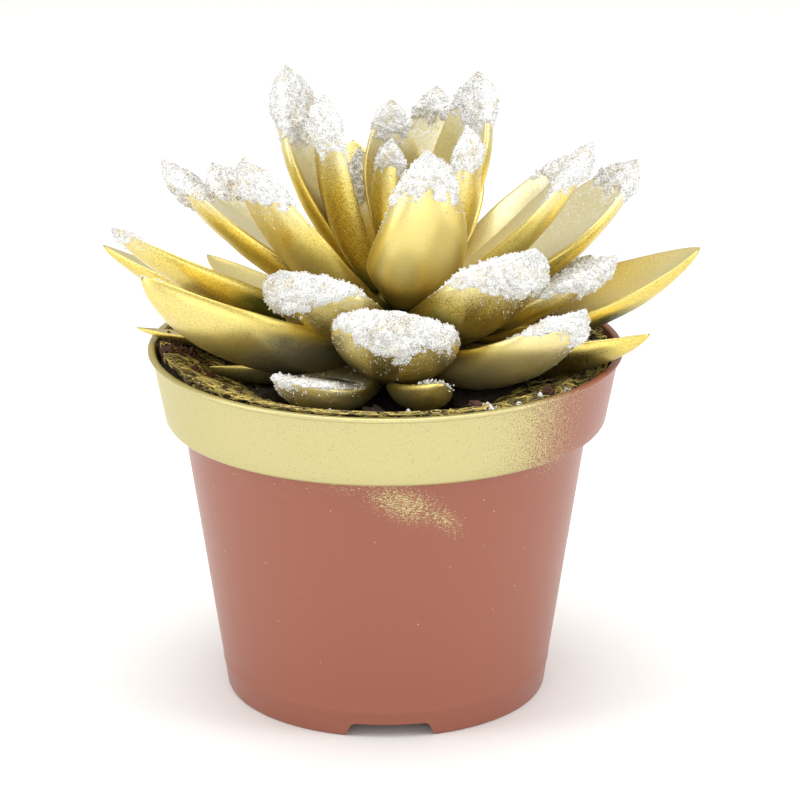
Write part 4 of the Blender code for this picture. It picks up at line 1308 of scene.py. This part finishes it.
class ECHEVERIA_OT_soil(bpy.types.Operator):
    """Fill the pot with peat and crumble its top"""
    bl_idname = "echeveria.soil"
    bl_label = "Soil"

    def execute(self, context):
        floor = FLOOR_RISE + WALL + SOIL_GAP
        shoulder = RIM_BOTTOM + WALL
        edge = inner_radius(SOIL_LEVEL) - SOIL_GAP
        profile = [
            (AXIS_HOLE, floor), (inner_radius(floor) - SOIL_GAP - CORNER, floor),
            (inner_radius(shoulder - CORNER) - SOIL_GAP, shoulder - CORNER),
            (inner_radius(shoulder + CORNER) - SOIL_GAP, shoulder + CORNER),
            (edge, SOIL_LEVEL - 2.0),
        ]
        profile += [(edge + (AXIS_HOLE - edge) * ring / SOIL_RINGS, SOIL_LEVEL)
                    for ring in range(SOIL_RINGS + 1)]
        soil = turned("soil", profile, SOIL_SIDES)
        for vert in soil.data.vertices:
            if vert.co.z > (SOIL_LEVEL - 0.1) * MM:
                spot = (vert.co - AXIS) / MM
                vert.co.z = soil_height(spot.x, spot.y) * MM
        shade(soil)
        dress(soil, "peat", damp_peat(context.scene.echeveria_soil), "peat_with_coir", "soil")
        return {"FINISHED"}


# Fibres: points of each thread, how high they heap up and where that starts, how far they
# stay off the wall and off the leaves, how far they rise over the lip, and how far in
# from the wall they scatter
FIBRE_POINTS = 11
FIBRE_HEAP = 2.3
FIBRE_HEAP_RADIUS = 33.0
FIBRE_HEAP_REACH = 6.0
FIBRE_WALL_GAP = 0.4
FIBRE_LEAF_GAP = 0.2
FIBRE_OVER_LIP = 1.1
FIBRE_SCATTER = 6.5
# The heap is highest to the left of the front, at this turn in radians
FIBRE_HEAP_TURN = -0.85

UNDERSIDES = low_bellies(FIBRE_LEAF_GAP, half_breadth)


def fibre_path(rng):
    """A curly thread that starts on the soil, wanders and dips back into it."""
    turn = rng.triangular(-math.pi, math.pi, -0.8)
    reach = inner_radius(SOIL_LEVEL) - FIBRE_WALL_GAP
    radius = reach - abs(rng.gauss(0.0, FIBRE_SCATTER))
    x, y = radius * math.sin(turn), -radius * math.cos(turn)
    heading = rng.uniform(0.0, math.tau)
    length = rng.uniform(4.0, 13.0)
    curl = rng.gauss(0.0, 0.5)
    arch = rng.uniform(0.2, 1.7)
    sink = rng.uniform(0.0, 0.5)
    front_left = smooth(1.7 - 1.2 * abs(turn - FIBRE_HEAP_TURN))
    high = rng.random()
    heap = (0.3 + 0.7 * high) * FIBRE_HEAP * front_left
    step = length / (FIBRE_POINTS - 1)
    points = []
    for index in range(FIBRE_POINTS):
        share = index / (FIBRE_POINTS - 1)
        away = math.hypot(x, y)
        if away > reach:
            x, y = x * reach / away, y * reach / away
        lift = arch * math.sin(math.pi * share) - sink
        lift += heap * smooth((away - FIBRE_HEAP_RADIUS) / FIBRE_HEAP_REACH)
        front = smooth((-y / max(away, 1.0) - 0.6) / 0.2)
        top = POT_HEIGHT + FIBRE_OVER_LIP - front - 0.45 * max(0.0, reach - 1.5 - away)
        level = min(open_soil_height(x, y) + lift, top)
        points.append(Vector((x, y, kept_below(UNDERSIDES, x, y, level))))
        curl += rng.gauss(0.0, 0.12)
        heading += curl
        x += step * math.cos(heading)
        y += step * math.sin(heading)
    return points, high


class ECHEVERIA_OT_fibres(bpy.types.Operator):
    """Tangle coir fibres over the soil"""
    bl_idname = "echeveria.fibres"
    bl_label = "Coir fibres"

    def execute(self, context):
        settings = context.scene.echeveria_soil
        rng = random.Random(5)
        curve = bpy.data.curves.new("coir", "CURVE")
        curve.dimensions = "3D"
        curve.bevel_depth = 1.0 * MM
        curve.bevel_resolution = 0
        curve.use_fill_caps = True
        tones = []
        for _ in range(settings.fibres):
            points, high = fibre_path(rng)
            spline = curve.splines.new("POLY")
            spline.points.add(FIBRE_POINTS - 1)
            thick = rng.uniform(0.05, 0.17)
            for index, (point, place) in enumerate(zip(spline.points, points)):
                point.co = (*(AXIS + place * MM), 1.0)
                taper = 0.45 + 0.55 * math.sin(math.pi * (index + 0.5) / FIBRE_POINTS)
                point.radius = thick * taper
            spray = 0.55 - 0.30 * math.sin(math.atan2(points[0].x, -points[0].y))
            tones.append(min(1.0, max(0.0, rng.gauss(spray * (0.30 + high), 0.40))))
        obj = bpy.data.objects.new("coir", curve)
        context.scene.collection.objects.link(obj)
        activate(obj)
        bpy.ops.object.convert(target="MESH")
        obj = context.active_object
        ring = len(obj.data.vertices) // settings.fibres
        store(obj, "tone", [tones[min(index // ring, len(tones) - 1)]
                            for index in range(len(obj.data.vertices))])
        bpy.ops.object.mode_set(mode="EDIT")
        bpy.ops.mesh.select_all(action="SELECT")
        bpy.ops.mesh.remove_doubles(threshold=0.001 * MM)
        bpy.ops.object.mode_set(mode="OBJECT")
        shade(obj)
        dress(obj, "coir_fibres", coir(settings), "peat_with_coir")
        return {"FINISHED"}


# Heaps of bark crumbs: azimuth in degrees, spread, distance from the axis and how many
BARK = ((-91, 6, 40.5, 50), (-120, 9, 39.0, 14), (-60, 12, 40.0, 8), (60, 25, 40.0, 8),
        (150, 40, 38.5, 26))


class ECHEVERIA_OT_bark(bpy.types.Operator):
    """Break crumbs of bark into the soil beside the pot's wall"""
    bl_idname = "echeveria.bark"
    bl_label = "Bark crumbs"

    def execute(self, context):
        rng = random.Random(3)
        crumbs = []
        for azimuth, spread, away, count in BARK:
            for _ in range(count):
                turn = math.radians(rng.gauss(azimuth, spread))
                radius = min(away + rng.gauss(0.0, 1.8), inner_radius(SOIL_LEVEL) - 1.2)
                x, y = radius * math.sin(turn), -radius * math.cos(turn)
                size = rng.uniform(0.5, 1.4)
                centre = Vector((x, y, soil_height(x, y) + rng.uniform(0.2, 2.2)))
                deselect()
                bpy.ops.mesh.primitive_ico_sphere_add(subdivisions=3, radius=1.0,
                                                      location=(0.0, 0.0, 0.0))
                crumb = context.active_object
                shape = Vector([size * rng.uniform(0.6, 1.3) for _ in range(3)])
                seed = Vector((9.0 * len(crumbs), 0.0, 0.0))
                for vert in crumb.data.vertices:
                    rough = noise.fractal(vert.co * 2.2 + seed, 0.5, 2.3, 5)
                    sized = vert.co * shape * (1.0 + 0.6 * rough)
                    vert.co = AXIS + (centre + sized) * MM
                crumbs.append(crumb)
        bark = join(crumbs)
        shade(bark, 35.0)
        dress(bark, "bark_scraps", composted_bark(), "peat_with_coir")
        return {"FINISHED"}


# Stage

# Soft boxes: name, power, width and height, and place
BOXES = (
    ("top_box", 5.5, (0.7, 0.7), (0.0, 0.05, 0.95)),
    ("left_box", 3.2, (0.35, 0.9), (-0.75, -0.25, 0.45)),
    ("right_box", 3.2, (0.35, 0.9), (0.75, -0.25, 0.45)),
    ("front_box", 2.3, (1.0, 0.5), (-0.1, -1.05, 0.40)),
    ("low_box", 1.3, (1.2, 0.22), (0.15, -0.95, 0.13)),
)


def soft_box(name, power, size, place):
    """A soft light, aimed at the rosette."""
    deselect()
    bpy.ops.object.light_add(type="AREA", location=place)
    light = bpy.context.active_object
    light.name = name
    light.data.energy = power
    light.data.shape = "RECTANGLE"
    light.data.size, light.data.size_y = size
    aim = Vector((AXIS.x, AXIS.y, 0.075)) - light.location
    light.rotation_euler = aim.to_track_quat("-Z", "Y").to_euler()


class ECHEVERIA_OT_stage(bpy.types.Operator):
    """Lay the pale floor, set the soft lights and aim the camera"""
    bl_idname = "echeveria.stage"
    bl_label = "Stage"

    def execute(self, context):
        settings = context.scene.echeveria_stage
        deselect()
        bpy.ops.mesh.primitive_plane_add(size=8.0, location=(0.0, 0.0, 0.0))
        floor = context.active_object
        floor.name = "floor"
        floor.data.materials.append(studio_floor(settings))
        for box in BOXES:
            soft_box(*box)
        world = bpy.data.worlds.new("studio")
        world.use_nodes = True
        set_inputs(world.node_tree, world.node_tree.nodes["Background"],
                   {"Color": opaque(linear("#FFFFFF")), "Strength": 0.65})
        context.scene.world = world
        context.scene.view_settings.view_transform = "Standard"
        deselect()
        bpy.ops.object.camera_add(
            location=AXIS + Vector((0.0, -settings.distance, settings.height)),
            rotation=(0.5 * math.pi - settings.pitch, 0.0, -settings.turn))
        camera = context.active_object
        camera.data.lens = settings.lens
        camera.data.sensor_width = 36.0
        context.scene.camera = camera
        return {"FINISHED"}


OPERATORS = (
    ECHEVERIA_OT_pot, ECHEVERIA_OT_soil, ECHEVERIA_OT_fibres, ECHEVERIA_OT_bark,
    ECHEVERIA_OT_rosette, ECHEVERIA_OT_snow, ECHEVERIA_OT_spilt_snow, ECHEVERIA_OT_stage,
)


class ECHEVERIA_PT_panel(bpy.types.Panel):
    """Steps and settings of the gilded echeveria"""
    bl_label = "Gilded echeveria"
    bl_space_type = "VIEW_3D"
    bl_region_type = "UI"
    bl_category = "Echeveria"

    def draw(self, context):
        for operator in OPERATORS:
            self.layout.operator(operator.bl_idname)
        for name, group in SETTINGS.items():
            box = self.layout.box()
            for field in group.__annotations__:
                box.prop(getattr(context.scene, name), field)


CLASSES = (*SETTINGS.values(), *OPERATORS, ECHEVERIA_PT_panel)


def register():
    for cls in CLASSES:
        bpy.utils.register_class(cls)
    for name, group in SETTINGS.items():
        setattr(bpy.types.Scene, name, bpy.props.PointerProperty(type=group))


def unregister():
    for name in SETTINGS:
        delattr(bpy.types.Scene, name)
    for cls in reversed(CLASSES):
        bpy.utils.unregister_class(cls)


def main():
    register()
    bpy.ops.echeveria.pot()
    bpy.ops.echeveria.soil()
    bpy.ops.echeveria.fibres()
    bpy.ops.echeveria.bark()
    bpy.ops.echeveria.rosette()
    bpy.ops.echeveria.snow()
    bpy.ops.echeveria.spilt_snow()
    bpy.ops.echeveria.stage()


if __name__ == "__main__":
    main()
